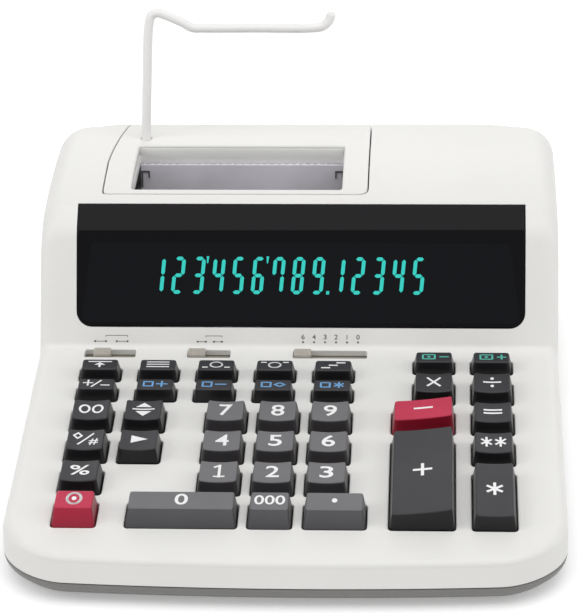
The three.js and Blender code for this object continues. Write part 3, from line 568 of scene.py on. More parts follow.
def profile_of(distance):
    """The case's top line from the front to the rear as (Y, Z), moved inwards by a distance.

    Where it is moved, points that would fold back are left out.
    """
    crown = Vector(((brow.x + shoulder.x) / 2 - CROWN_AHEAD, shoulder.y + CROWN_RISE))
    slope = (shoulder.y - crown.y) / (shoulder.x - crown.x)
    last = REAR - REAR_CORNER - 0.5
    top = [p for p, _ in bezier([brow, crown, shoulder], 24) if p.x < last - 1]
    points = [(RIDGE - RUNOUT, ridge_z - RUNOUT * tan(deck_tilt), 0), (*crease, CREASE_REACH),
              (*bend, BEND_REACH), (*brow, BEND_REACH), (*top[2], 0)]
    rear = [Vector((y, shoulder.y + slope * (y - shoulder.x))) for y in (last, REAR + RUNOUT)]
    line = soft_path(points)[:-1] + top[2:] + rear
    if not distance:
        return line
    kept = []
    for i, here in enumerate(line):
        along = (line[min(i + 1, len(line) - 1)] - line[max(i - 1, 0)]).normalized()
        point = here + distance * Vector((along.y, -along.x))
        if not kept or point.x > kept[-1].x + 0.05:
            kept.append(point)
    return kept


def height_on(line, y):
    for a, b in zip(line, line[1:]):
        if a.x <= y <= b.x:
            return a.y + (b.y - a.y) * (y - a.x) / (b.x - a.x)
    return line[-1].y


outer_line = profile_of(0)


def case_outline(levels):
    """The case from above, anticlockwise from the front's middle, as (point, inward normal)."""
    side = HALF - FRONT_CORNER
    pull = FRONT_CORNER * CORNER_PULL
    edge = RIDGE + BOW_SIDE
    bow = [(-side, edge), (0, RIDGE - 2 * NOSE_BOW - BOW_SIDE), (side, edge)]
    front = [(side, edge), (HALF - pull, RIDGE), (HALF, RIDGE + FRONT_CORNER - pull),
             (HALF, RIDGE + FRONT_CORNER)]
    rear = [(HALF, REAR - REAR_CORNER), (HALF, REAR), (HALF - REAR_CORNER, REAR)]
    found = bezier(bow, 12, 0.5)[:-1] + bezier(front, CORNER_STEPS)[:-1]
    path = [(p, Vector((-t.y, t.x))) for p, t in found]
    path.append((Vector((HALF, RIDGE + FRONT_CORNER)), Vector((-1, 0))))
    path += [(Vector((HALF, y)), Vector((-1, 0))) for y in levels]
    path += [(p, Vector((-t.y, t.x))) for p, t in bezier(rear, CORNER_STEPS)]
    return path + [(Vector((-p.x, p.y)), Vector((-n.x, n.y))) for p, n in reversed(path[1:])]


def smooth_step(value, low, high):
    t = min(1, max(0, (value - low) / (high - low)))
    return t * t * (3 - 2 * t)


def edge_round(point, inward):
    """The rounding's radius between the wall and the top at a place on the outline."""
    side = DECK_ROUND + (TOP_ROUND - DECK_ROUND) * smooth_step(point.y, crease.x, brow.x + 6)
    if inward.y > 0:
        return side + (RIDGE_ROUND - side) * smooth_step(inward.y, 0.1, 0.95)
    return side + (REAR_ROUND - side) * smooth_step(-inward.y, 0.1, 0.95)


def case_solid(name, distance, foot):
    """The case as one closed body, moved inwards by a distance."""
    line = profile_of(distance)
    levels = [p.x for p in line
              if RIDGE + FRONT_CORNER + 1 < p.x < REAR - REAR_CORNER - 0.2]
    outline = case_outline(levels)
    rings = [[] for _ in range(ARC_STEPS + 2)]
    for point, inward in outline:
        radius = max(edge_round(point, inward) - distance, 0.5)
        slant = FRONT_SLANT * max(0, inward.y)
        start = point + inward * distance
        rings[0].append((start.x, start.y, foot))
        for k in range(ARC_STEPS + 1):
            turn = k * pi / 2 / ARC_STEPS
            place = start + inward * (slant + radius * (1 - cos(turn)))
            top = height_on(line, place.y)
            rings[k + 1].append((place.x, place.y, top - radius * (1 - sin(turn))))
    points, faces = stacked(rings, top=False)
    return piece(name, points, faces + lid_faces(len(outline), len(levels)))


def lid_faces(count, levels):
    """The top of the case: strips from side to side, and one face at each end."""
    start = (ARC_STEPS + 1) * count
    first = count // 2 - levels - CORNER_STEPS
    last = first + levels
    at = [start + i for i in range(count)]
    faces = [tuple(at[count - first:] + at[:first + 1])]
    faces += [(at[i], at[i + 1], at[count - i - 1], at[count - i]) for i in range(first, last)]
    faces.append(tuple(at[last:count - last + 1]))
    return faces


def top_surface(x, y):
    """The height of the case's outside, with its rounding towards the rear."""
    inside = min(REAR_ROUND, max(0.0, REAR - y))
    drop = REAR_ROUND - sqrt(REAR_ROUND ** 2 - (REAR_ROUND - inside) ** 2)
    return height_on(outer_line, y) - drop


def deck_level_at(x, y):
    """How far the outside lies above the plane of the deck."""
    place = deck_frame @ Vector((x, y, 0))
    return (height_on(outer_line, place.y) - place.z) * deck_normal.z


def refined(loop, step=2.5):
    """An outline with its long edges divided."""
    points = []
    for i, a in enumerate(loop):
        a, b = Vector(a[:2]), Vector(loop[(i + 1) % len(loop)][:2])
        count = max(1, int((b - a).length / step))
        points += [a.lerp(b, k / count) for k in range(count)]
    return points


def rim_tool(loop, level, foot, rounding, way, reach=6.0, steps=3):
    """A cutter with a rounded rim on a surface: way 1 cuts a hole, and -1 keeps a lid."""
    rings = [[(p[0], p[1], foot) for p in loop]]
    for k in range(steps + 1):
        turn = k * pi / 2 / steps
        edge = grown(loop, way * rounding * (1 - cos(turn)))
        lift = CUT if way < 0 and k == steps else 0
        rings.append([
            (p.x, p.y, level(p.x, p.y) - rounding * (1 - sin(turn)) + lift) for p in edge
        ])
    ceiling = max(z for _, _, z in rings[-1]) + reach
    rings.append([(p.x, p.y, ceiling) for p in edge])
    return stacked(rings)


# ---------- key and slot footprints

def cap_box(node):
    """A key cap's footprint and height on the deck: x0, x1, y0, y1, height."""
    places = [deck_back @ (v.co / MM) for v in frame["nodes"][node].data.vertices]
    seen = [p for p in places if p.z > -1.5]
    xs, ys = [p.x for p in seen], [p.y for p in seen]
    return min(xs), max(xs), min(ys), max(ys), max(p.z for p in seen)


key_boxes = {n: cap_box(n) for n in frame["nodes"] if n.startswith("key_") and n != "key_mat"}
slide_boxes = {name: cap_box(name) for name in frame["nodes"] if name.endswith("_slide")}
SMALL = [name for name, box in key_boxes.items() if box[3] - box[2] < 9]


def slot_box(name):
    """A slot from its knob's rest place and travel."""
    x0, x1, y0, y1, _ = slide_boxes[name]
    low, high = (value / MM for value in joints[name + "_move"]["range_m"])
    return x0 + low - SLOT_ROOM, x1 + high + SLOT_ROOM, y0 - SLOT_ROOM, y1 + SLOT_ROOM


# ---------- case and cover

def deck_holes():
    loops = []
    for x0, x1, y0, y1, _ in key_boxes.values():
        sides = x0 - KEY_GAP, x1 + KEY_GAP, y0 - KEY_GAP, y1 + KEY_GAP
        loops.append((rounded_rectangle(*sides, KEY_CORNER + KEY_GAP / 2), HOLE_ROUND))
    for name in slide_boxes:
        loops.append((rounded_rectangle(*slot_box(name), SLOT_CORNER), SLOT_ROUND))
    shapes = [rim_tool(loop, deck_level_at, -WALL - 1, rounding, 1, 4) for loop, rounding in loops]
    return piece("deck_holes", *moved_by(merged(*shapes), deck_frame))


def window_outline(margin):
    """The window on the display face, from its foot up over the brow band."""
    ends = WINDOW_LEFT - HALF - margin, HALF - WINDOW_RIGHT + margin
    foot = WINDOW_FOOT - margin
    radius = WINDOW_CORNER + margin
    top = FACE_LENGTH + BROW_LENGTH + margin
    whole = rounded_rectangle(*ends, foot, top, radius, 8)
    low = [(x, y) for x, y in whole if y < top - radius - 1]
    right = [p for p in low if p[0] > 0]
    left = [p for p in low if p[0] <= 0]
    return left + right + [(ends[1], top), (ends[0], top)]


def face_point(x, along, depth):
    """A place on the display face: across, up along it, and below its surface."""
    if along < FACE_LENGTH - BEND_REACH:
        base = crease + face_up * along
        tilt = FACE_TILT
    elif along > FACE_LENGTH + BEND_REACH:
        base = bend + brow_up * (along - FACE_LENGTH)
        tilt = BROW_TILT
    else:
        t = (along - FACE_LENGTH + BEND_REACH) / (2 * BEND_REACH)
        start = bend - face_up * BEND_REACH
        end = bend + brow_up * BEND_REACH
        base = start.lerp(bend, t).lerp(bend.lerp(end, t), t)
        tilt = FACE_TILT + (BROW_TILT - FACE_TILT) * t
    return (x, base.x + depth * sin(tilt), base.y - depth * cos(tilt))


def face_plate(outline, low, high):
    """A plate that follows the display face, from an outline in (across, along)."""
    shape = bmesh.new()
    shape.faces.new([shape.verts.new((x, y, 0)) for x, y in outline])
    for k in range(-6, 7):
        divide(shape, (0, FACE_LENGTH + BEND_REACH * k / 6, 0), (0, 1, 0), 1e-5)
    flat, faces = taken(shape)
    edges = dict.fromkeys((a, b) for face in faces for a, b in zip(face, face[1:] + face[:1]))
    border = [(a, b) for a, b in edges if (b, a) not in edges]
    count = len(flat)
    points = [face_point(x, y, depth) for depth in (low, high) for x, y, _ in flat]
    faces += [tuple(reversed([i + count for i in face])) for face in faces]
    faces += [(b, a, a + count, b + count) for a, b in border]
    return points, faces


def divide(shape, place, normal, near=1e-4):
    """Divides a bmesh's faces at a plane."""
    bmesh.ops.bisect_plane(
        shape, geom=shape.verts[:] + shape.edges[:] + shape.faces[:],
        dist=near, plane_co=place, plane_no=normal,
    )


def taken(shape):
    """The points and faces of a bmesh, which is used up."""
    shape.verts.index_update()
    points = [tuple(v.co) for v in shape.verts]
    faces = [tuple(v.index for v in f.verts) for f in shape.faces]
    shape.free()
    return points, faces


def cover_outline(margin):
    """The cover from above: its left edge bends in towards the rear."""
    left = COVER_LEFT - HALF - margin
    right = COVER_RIGHT + margin
    front = brow.x + COVER_FRONT - margin
    rear_left = left + COVER_TAPER
    curve = [(rear_left, REAR + 1), (left + 1.5, brow.x + 55), (left, brow.x + 30)]
    corner = [(right - COVER_CORNER, front), (right, front), (right, front + COVER_CORNER)]
    near = [(left, front + 2), (left, front), (left + 2, front)]
    loop = [p for p, _ in bezier(near, 4)] + [p for p, _ in bezier(corner, 6)]
    loop += [Vector((right, REAR + 12)), Vector((rear_left, REAR + 12))]
    return refined(loop + [p for p, _ in bezier(curve, 12)])


def barrel(radius, start, end, edge=0.4):
    """A round bar along X on the cover's hinge axis."""
    low, high = min(start, end), max(start, end)
    top = high - low
    profile = [(radius - edge, 0), (radius, edge), (radius, top - edge), (radius - edge, top)]
    return moved_by(turned(profile, 32), along_x(low, hinge_y, hinge_z))


def hinge_bars(radius, start, end, edge=0.4):
    """A bar at both hinges, from and to a distance towards the cover's middle."""
    return merged(*[
        barrel(radius, s + way * start, s + way * end, edge) for s, way in hinge_starts])


def top_case():
    shell = case_solid("case_shell", 0, SPLIT)
    hollow = case_solid("case_hollow", WALL, SPLIT - 2 * WALL)
    combine(shell, "DIFFERENCE", hollow, deck_holes())
    window = piece("window_tool", *face_plate(window_outline(WINDOW_GAP), -6, 9))
    cover = piece("cover_tool", *rim_tool(
        cover_outline(COVER_GAP), top_surface, COVER_FOOT - COVER_GAP, COVER_ROUND, 1))
    low, high = record_box("paper_inlet")
    inlet = piece("inlet_tool", *block(
        (low.x, high.x), (REAR - 3 * WALL, REAR + WALL), (low.z, high.z), 1))
    middle = sum(corners("cord_gland"), Vector()) / 2
    barrel_room = GLAND_BARREL + GLAND_ROOM
    gland = piece("gland_tool", *moved_by(
        turned([(barrel_room, -20), (barrel_room, 20)]), along_y(middle.x, REAR, middle.z)))
    room = piece("barrel_room", *hinge_bars(
        HINGE_RADIUS + HINGE_PLAY, 0, HINGE_LENGTH + HINGE_PLAY, CUT))
    combine(shell, "DIFFERENCE", window, cover, inlet, gland, room)
    dress(shell, "case", case_white)
    weigh_normals(shell)
    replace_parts(shell, "top_case")
    ears = hinge_bars(HINGE_RADIUS, 0, -HINGE_LENGTH)
    pins = hinge_bars(HINGE_PIN, -1, HINGE_LENGTH - 1, 0.2)
    piece("case_hinge_ears", *merged(ears, pins), "case", case_white, "case_white")


def printer_cover():
    cover = case_solid("cover_shell", 0, SPLIT)
    combine(cover, "DIFFERENCE", case_solid("cover_hollow", COVER_SHEET, SPLIT - 2 * WALL))
    combine(cover, "INTERSECT", piece("cover_keep", *rim_tool(
        cover_outline(0), top_surface, COVER_FOOT, COVER_ROUND, -1)))
    hole = rounded_rectangle(EXIT_LEFT, EXIT_RIGHT, exit_front, exit_back, EXIT_CORNER)
    exit_tool = piece("exit_tool", *rim_tool(
        refined(hole), top_surface, top_surface(0, exit_back) - 20, EXIT_ROUND, 1))
    bore = WIRE + SOCKET_ROOM
    arm_room = piece("bore_tool", *moved_by(turned([
        (bore, -SOCKET_DEPTH), (bore, -0.6), (bore + 0.5, 0), (bore + 1.5, 3), (WIRE + 6, 20),
    ]), arm_frame))
    ear_room = piece("ear_room", *hinge_bars(
        HINGE_RADIUS + HINGE_PLAY, HINGE_PLAY, -HINGE_LENGTH - HINGE_PLAY, CUT))
    combine(cover, "DIFFERENCE", exit_tool, arm_room, ear_room)
    dress(cover, "printer_cover", case_white)
    weigh_normals(cover)
    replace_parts(cover, "printer_cover")
    tubes = piece("cover_hinge_barrels", *hinge_bars(HINGE_RADIUS, HINGE_PLAY, HINGE_LENGTH))
    combine(tubes, "DIFFERENCE", piece("pin_room", *hinge_bars(
        HINGE_PIN + 0.1, -1, HINGE_LENGTH - 0.8, CUT)))
    dress(tubes, "printer_cover", case_white)
    outside = WIRE + SOCKET_WALL
    sleeve = piece("arm_socket", *moved_by(turned([
        (outside - 0.4, -SOCKET_DEPTH - 2), (outside, -SOCKET_DEPTH - 1.6), (outside, -1.4),
    ]), arm_frame))
    combine(sleeve, "DIFFERENCE", piece("sleeve_bore", *moved_by(
        turned([(bore, -SOCKET_DEPTH), (bore, 4)]), arm_frame)))
    dress(sleeve, "printer_cover", case_white)


def chute():
    """The walls of the paper exit below the cover, in a lighter copy of the case white: painted light on walls
    that lie in shade.
    """
    level = top_surface(0, exit_back)
    foot = level - CHUTE_DEPTH
    side_top = top_surface(0, exit_front) - COVER_SHEET * 0.7
    left, right = EXIT_LEFT - CHUTE_WALL, EXIT_RIGHT + CHUTE_WALL
    rear = exit_back + CHUTE_WALL
    walls = [block((left, right), (exit_back - 0.2, rear), (foot, level - 1.2), 0.3)]
    for x in ((left, EXIT_LEFT), (EXIT_RIGHT, right)):
        walls.append(block(x, (exit_front - CHUTE_WALL, rear), (foot, side_top), 0.3))
    # painted light: the exit's walls take the lighter copy of the case white
    piece("exit_chute", *merged(*walls), "printer_cover", chute_lit_white, "case_white")


# ---------- lower case and feet

def lower_case():
    foot, rim, lip = tray_low.z, SPLIT - 0.6, tray_high.z
    section = (
        (4.6, foot), (3.9, foot + 0.25), (3.2, foot + 0.9), (0.9, foot + 3.2), (0.35, foot + 4.2),
        (0.05, rim - 0.5), (0.35, rim), (2.9, rim), (2.9, lip - 0.3), (3.1, lip),
        (4.1, lip), (4.2, lip - 0.3), (5.2, foot + 2.6),
    )
    rings = [[(*(p + n * inset), z) for p, n in case_outline([])] for inset, z in section]
    tray = piece("case_tray", *stacked(rings), "case", tray_grey, "case_grey")
    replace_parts(tray, "bottom_case")
    weigh_normals(tray)


def feet():
    for name in [n for n in frame["nodes"] if n.startswith("foot_")]:
        low, high = corners(name)
        middle = (low + high) / 2
        radius = (high.x - low.x) / 2
        profile = [(radius - 1.0, 0), (radius - 0.4, 0.12), (radius, 0.6), (radius, high.z + 0.6)]
        shape = moved_by(turned(profile), Matrix.Translation((middle.x, middle.y, 0)))
        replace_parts(piece("pad_" + name, *shape, "case", rubber, "foot_rubber"), name)


# ---------- display

def bar(a, b):
    """A segment with pointed ends."""
    a, b = Vector(a), Vector(b)
    along = (b - a).normalized()
    side = Vector((-along.y, along.x)) * DIGIT_STROKE / 2
    tip = along * DIGIT_STROKE / 2
    return [a, a + tip - side, b - tip - side, b, b - tip + side, a + tip + side]


def digit_bars(figure):
    """A figure's lit segments, from its foot's middle up."""
    w, h, g = DIGIT_WIDTH / 2, (DIGIT_HEIGHT - DIGIT_STROKE) / 2, DIGIT_GAP
    ends = {
        "a": ((-w + g, 2 * h), (w - g, 2 * h)), "b": ((w, 2 * h - g), (w, h + g)),
        "c": ((w, h - g), (w, g)), "d": ((-w + g, 0), (w - g, 0)),
        "e": ((-w, g), (-w, h - g)), "f": ((-w, h + g), (-w, 2 * h - g)),
        "g": ((-w + g, h), (w - g, h)),
    }
    return [bar(*ends[name]) for name in SEGMENTS[figure]]


def digit_middle(place):
    return LAST_DIGIT - (len(SHOWN) - 1 - place) * DIGIT_PITCH


def face_decal(outline, lift=0.06, under=0.2):
    """A thin closed shape on the display face."""
    return stacked([[face_point(x, y, depth) for x, y in outline] for depth in (under, -lift)])


def display():
    pane = piece("window_pane", *face_plate(window_outline(0), 0.05, PANE), "case",
                 window_black, "window_black")
    soften(pane, 0.35, 50, 3)
    weigh_normals(pane)
    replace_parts(pane, "display_window")
    view = [(HALF - WINDOW_RIGHT - x, y) for x, y in VIEW_EDGE]
    view += [(WINDOW_LEFT - HALF + x, y) for x, y in reversed(VIEW_EDGE)]
    piece("window_view", *face_decal(view, 0.0, 0.3), "case", view_dark, "window_black",
          smooth=False)
    shapes = []
    for i, figure in enumerate(SHOWN):
        for loop in digit_bars(figure):
            shapes.append(face_decal([
                (digit_middle(i) + p.x + p.y * tan(DIGIT_LEAN),
                 DIGIT_FOOT + DIGIT_STROKE / 2 + p.y) for p in loop]))
    for i, mark, rise in MARKS:
        shapes.append(face_decal([
            (digit_middle(i + 0.5) + x, DIGIT_FOOT + rise + y) for x, y in mark]))
    piece("display_figures", *merged(*shapes), "case", digit_glow, "tube_glass", smooth=False)


# ---------- keys

def cap_level(name):
    """The height of a cap's top over its footprint."""
    x0, x1, _, _, high = key_boxes[name]
    middle, reach = (x0 + x1) / 2, (x1 - x0) / 2 - SIDE_DRAFT
    if name in SWOOPED:
        rise = high - SWOOP_LEFT
        return lambda x, y: SWOOP_LEFT + rise * max(0, (x - x0) / (x1 - x0)) ** 1.7
    if name in SMALL or name in FIRST_ROW:
        return lambda x, y: high
    depth = DISH * (0.6 if name == "key_total" else 1)
    return lambda x, y: high - depth * max(0, 1 - ((x - middle) / reach) ** 2)


def cap_top(name):
    """Where a cap's top starts and ends along the deck, inside its drafts."""
    front, back = ROW_DRAFTS if name in FIRST_ROW else DRAFTS
    return key_boxes[name][2] + front, key_boxes[name][3] - back


def key_cap(name):
    x0, x1, y0, y1, _ = key_boxes[name]
    front, back = cap_top(name)
    level = cap_level(name)
    divisions = 5, int((x1 - x0) / 1.0), int((y1 - y0) / 1.6)
    base = rounded_rectangle(x0, x1, y0, y1, KEY_CORNER, *divisions)
    top = rounded_rectangle(
        x0 + SIDE_DRAFT, x1 - SIDE_DRAFT, front, back, KEY_CORNER * 0.8, *divisions)
    rings = [[(x, y, z) for x, y in base] for z in (-SKIRT, 0)]
    for k in range(5):
        turn = k * pi / 2 / 4
        edge = grown(top, -CAP_EDGE * (1 - cos(turn)))
        rings.append([(p.x, p.y, level(p.x, p.y) - CAP_EDGE * (1 - sin(turn))) for p in edge])
    middle = Vector(((x0 + x1) / 2, (front + back) / 2))
    for share in (0.9, 0.75, 0.55, 0.35, 0.15):
        inner = [middle + (p - middle) * share for p in edge]
        rings.append([(p.x, p.y, level(p.x, p.y)) for p in inner])
    cap = piece("cap_" + name, *moved_by(stacked(rings), deck_frame), name,
                key_plastics[slots[name]], slots[name], angle=48)
    weigh_normals(cap)
    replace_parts(cap, name)


# ---------- legends

def text_shape(words, width, height):
    """Printed figures or signs, centred, as a thin closed shape."""
    curve = bpy.data.curves.new("words", "FONT")
    curve.body = words
    curve.resolution_u = 6
    curve.extrude = 0.5
    curve.offset = 0.012
    holder = linked("words", curve)
    bpy.context.view_layer.update()
    graph = bpy.context.evaluated_depsgraph_get()
    mesh = bpy.data.meshes.new_from_object(holder.evaluated_get(graph))
    bpy.data.objects.remove(holder)
    shape = bmesh.new()
    shape.from_mesh(mesh)
    bmesh.ops.remove_doubles(shape, verts=shape.verts, dist=1e-4)
    for axis, size in enumerate((width, height)):
        places = [v.co[axis] for v in shape.verts]
        low, reach = min(places), max(places) - min(places)
        for v in shape.verts:
            v.co[axis] = ((v.co[axis] - low) / reach - 0.5) * size
    for i in range(int(width)):
        divide(shape, (i - int(width) / 2 + 0.5, 0, 0), (1, 0, 0))
    return taken(shape)


def stroke(path, width, closed=False):
    """A printed line of even width along a path, as a thin closed shape."""
    path = [Vector(p) for p in path]
    shapes = []
    for a, b in zip(path, path[1:] + path[:1] if closed else path[1:]):
        along = (b - a).normalized()
        count = max(1, int((b - a).length / 1.2))
        a, b = a - along * width * 0.3, b + along * width * 0.3
        side = Vector((-along.y, along.x)) * width / 2
        rings = []
        for k in range(count + 1):
            here = a.lerp(b, k / count)
            left, right = here + side, here - side
            rings.append([(*left, -0.5), (*right, -0.5), (*right, 0.5), (*left, 0.5)])
        shapes.append(stacked(rings))
    return merged(*shapes)


def dash(reach, width, x=0.0, y=0.0):
    return stroke([(x - reach, y), (x + reach, y)], width)


def oval(radius_x, radius_y, count=20):
    turns = [2 * pi * i / count for i in range(count)]
    return [(radius_x * cos(turn), radius_y * sin(turn)) for turn in turns]


def ring(radius_x, radius_y, count, width):
    return stroke(oval(radius_x, radius_y, count), width, True)


def filled(path):
    return stacked([[(x, y, z) for x, y in path] for z in (-0.5, 0.5)])


def shifted(shape, x, y=0.0):
    return moved_by(shape, Matrix.Translation((x, y, 0)))


def twice(shape, x):
    """A shape to the left and to the right of the middle."""
    return merged(shifted(shape, -x), shifted(shape, x))


def diamond(w, h, width):
    return stroke([(-w, 0), (0, -h), (w, 0), (0, h)], width, True)


def plus(w, h, width):
    return merged(dash(w, width), stroke([(0, -h), (0, h)], width))


def star(w, h, width):
    ends = [(w * cos(turn), h * sin(turn)) for turn in (pi / 2, pi * 5 / 6, pi * 7 / 6)]
    return merged(*[stroke([(-x, -y), (x, y)], width) for x, y in ends])


def square(w, h, width):
    return stroke([(-w, -h), (w, -h), (w, h), (-w, h)], width, True)


def legends():
    """Each key's printed sign: figures, arithmetic signs and plain pictograms."""
    line, thin = 0.85, 0.7
    memory = shifted(square(1.7, 1.75, thin), -2.6)
    tax = shifted(merged(square(2.3, 1.75, thin), filled(oval(0.7, 0.6))), -2.0)
    dot = filled(oval(0.7, 0.8))
    coin = ring(2.3, 2.1, 20, thin)
    signs = {
        "zero": text_shape("0", 4.8, 6.3),
        "triple_zero": text_shape("000", 11.2, 5.3),
        "point": filled(oval(1.0, 1.25)),
        "multiply": merged(*[stroke([(-2.4, -y), (2.4, y)], line) for y in (2.6, -2.6)]),
        "divide": merged(dash(3.2, line), shifted(dot, 0, 2.4), shifted(dot, 0, -2.4)),
        "equals": merged(*[dash(3.2, line + 0.1, 0, y) for y in (1, -1)]),
        "minus": dash(3.3, line + 0.15),
        "plus": plus(3.2, 3.3, line + 0.3),
        "total": star(3.0, 3.3, line + 0.25),
        "percent": text_shape("%", 7.4, 5.8),
        "shift_right": filled([(-2.9, -2.3), (3.3, 0), (-2.9, 2.3)]),
        "subtotal": merged(
            shifted(diamond(1.5, 1.7, thin), -3.1, 1.9), stroke([(-2.6, -3.3), (2.6, 3.3)], thin),
            shifted(text_shape("#", 3.6, 3.8), 3.1, -1.8)),
        "grand_total": twice(star(2.0, 2.7, line), 2.6),
        "clear": merged(ring(2.5, 3.1, 26, line + 0.15), filled(oval(0.9, 1.1))),
        "clear_all": twice(ring(1.8, 2.3, 22, line), 2.5),
        "mark_up": merged(dash(4, thin), filled([(-3, 1.3), (3, 1.3), (0, 4.2)]),
                          filled([(-3, -1.3), (0, -4.2), (3, -1.3)])),
        "sign": merged(shifted(plus(1.8, 2.1, thin), -3.2, 0.6),
                       stroke([(-1.7, -2.5), (1.7, 2.5)], thin), dash(1.6, thin, 3.5, -1.2)),
        "memory_add": merged(memory, shifted(plus(2.0, 2.1, thin), 2.6)),
        "memory_subtract": merged(memory, dash(2, thin, 2.6)),
        "memory_subtotal": merged(memory, shifted(diamond(2.0, 1.5, thin), 2.6)),
        "memory_total": merged(memory, shifted(star(1.9, 2.1, thin), 2.6)),
        "tax_minus": merged(tax, dash(1.6, thin, 3.9)),
        "tax_plus": merged(tax, shifted(plus(1.6, 1.7, thin), 3.9)),
        "feed": merged(dash(4.4, thin, 0, 2.0), filled([(-2.2, -0.6), (2.2, -0.6), (0, 1.4)]),
                       stroke([(0, -2.2), (0, -0.6)], line)),
        "item": merged(*[dash(4.2, thin, 0, y) for y in (-1.9, 0, 1.9)]),
        "cost": merged(coin, *[dash(0.9, thin, x, -2.1) for x in (-4.3, 4.3)]),
        "sell": merged(coin, *[dash(0.9, thin, x, 2.1) for x in (-4.3, 4.3)]),
        "margin": merged(*[dash(1.5, line, side * 2.9, side * 2.0) for side in (-1, 0, 1)]),
        "1": merged(stroke([(0.3, -3.5), (0.3, 3.5)], line + 0.2),
                    stroke([(-1.6, 2.3), (0.1, 3.2)], line), dash(1.9, thin, 0.3, -3.2)),
    }
    for figure in "23456789":
        signs[figure] = text_shape(figure, 5.0, 6.8)
    return signs


def key_legend(name, shape):
    x0, x1 = key_boxes[name][:2]
    level = cap_level(name)
    small = name in SMALL
    middle_x, middle_y = (x0 + x1) / 2, sum(cap_top(name)) / 2 + (0.1 if small else 0.5)
    points, faces = shape
    placed = []
    for x, y, z in points:
        x, y = middle_x + x, middle_y + y * (0.82 if small else 1)
        placed.append((x, y, level(x, y) + z * 2 * PRINT_LIFT))
    colour = ink_blue if "memory" in name else ink_teal if "tax" in name else ink_white
    piece("print_" + name, *moved_by((placed, faces), deck_frame), name, colour, slots[name],
          smooth=False)


# ---------- slide switches

def slides():
    for name, (x0, x1, y0, y1, high) in slide_boxes.items():
        shapes = [block((x0, x1), (y0, y1), (-SKIRT, high), 0.35)]
        first = (x0 + x1 - (RIBS - 1) * RIB_PITCH - RIB_WIDTH) / 2
        for rib in [first + k * RIB_PITCH for k in range(RIBS)]:
            shapes.append(block((rib, rib + RIB_WIDTH), (y0 + 0.5, y1 - 0.5),
                                (high - 0.3, high + RIB_RISE), 0.1))
        knob = piece("knob_" + name, *moved_by(merged(*shapes), deck_frame), name,
                     knob_beige, "slide_knob")
        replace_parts(knob, name)
        left, right, front, back = slot_box(name)
        low, high = (value / MM for value in joints[name + "_move"]["range_m"])
        sides = (left - high, right - low), (front - SHUTTER_LAP, back + SHUTTER_LAP)
        top = -WALL - SHUTTER_PLAY
        plate = block(*sides, (top - SHUTTER, top), 0.2)
        # painted shade: the plate under the slot takes the darker copy of the knob beige
        piece("shutter_" + name, *moved_by(plate, deck_frame), name, slot_shaded_beige, "slide_knob")


def face_print(shape, x, along):
    """A printed shape laid on the display face."""
    points, faces = shape
    return [face_point(x + p[0], along + p[1], -PRINT_LIFT if p[2] > 0 else 0.2)
            for p in points], faces


def slot_marks():
    """Plain marks above the slots: a dotted line for each, and figures for the decimal places."""
    row, upper_row, thin = 2.3, 4.6, 0.22
    shapes = []
    for name, count in (("power_print_slide", 4), ("rounding_slide", 4), ("decimal_slide", 6)):
        middle = sum(slide_boxes[name][:2]) / 2
        low, high = (value / MM for value in joints[name + "_move"]["range_m"])
        places = [middle + low + (high - low) * k / (count - 1) for k in range(count)]
        shapes += [face_print(filled(oval(0.42, 0.42, 12)), x, row) for x in places]
        if name == "decimal_slide":
            for x, figure in zip(places, "643210"):
                upright = stroke([(0, -0.8), (0, 0.8)], 0.3)
                shape = upright if figure == "1" else text_shape(figure, 1.3, 1.9)
                shapes.append(face_print(shape, x, upper_row - 0.2))
            continue
        for ends in (places[:2], places[-2:]):
            shapes.append(face_print(stroke([(x, 0) for x in ends], thin), 0, row))
        bracket = [(places[1], -0.5), (places[1], 0), (places[-1], 0), (places[-1], -0.5)]
        shapes.append(face_print(stroke(bracket, thin), 0, upper_row))
    piece("slot_marks", *merged(*shapes), "case", ink_grey, "case_white", smooth=False)


# ---------- tear plate and arm

def tear_plate():
    """The smoky strip with its teeth, and a small wire hook at each end of it."""
    node = frame["nodes"]["tear_plate"]
    paint(node, tear_tint)
    soften(node, 0.15)
    low, high = corners("tear_plate")
    seen = [v.co / MM for v in node.data.vertices]
    top_y = min(p.y for p in seen if p.z > high.z - 3)
    foot_y = min(p.y for p in seen if p.z < low.z + 3)

    def against(x, z, lift):
        share = (z - low.z) / (high.z - low.z)
        return x, foot_y + (top_y - foot_y) * share - lift, z

    hooks = []
    top = high.z - HOOK_DOWN
    for x, way in ((low.x + HOOK_IN, 1), (high.x - HOOK_IN, -1)):
        far = x + way * HOOK_WIDTH
        path = [(x, top - HOOK_LENGTH), (x, top), (far, top), (far, top - HOOK_END)]
        points, faces = stroke(path, HOOK_WIRE)
        hooks.append(([against(*p[:2], 0.35 if p[2] > 0 else 0.05) for p in points], faces))
    piece("tear_hooks", *merged(*hooks), "printer_cover", ink_grey, "tear_plate", smooth=False)


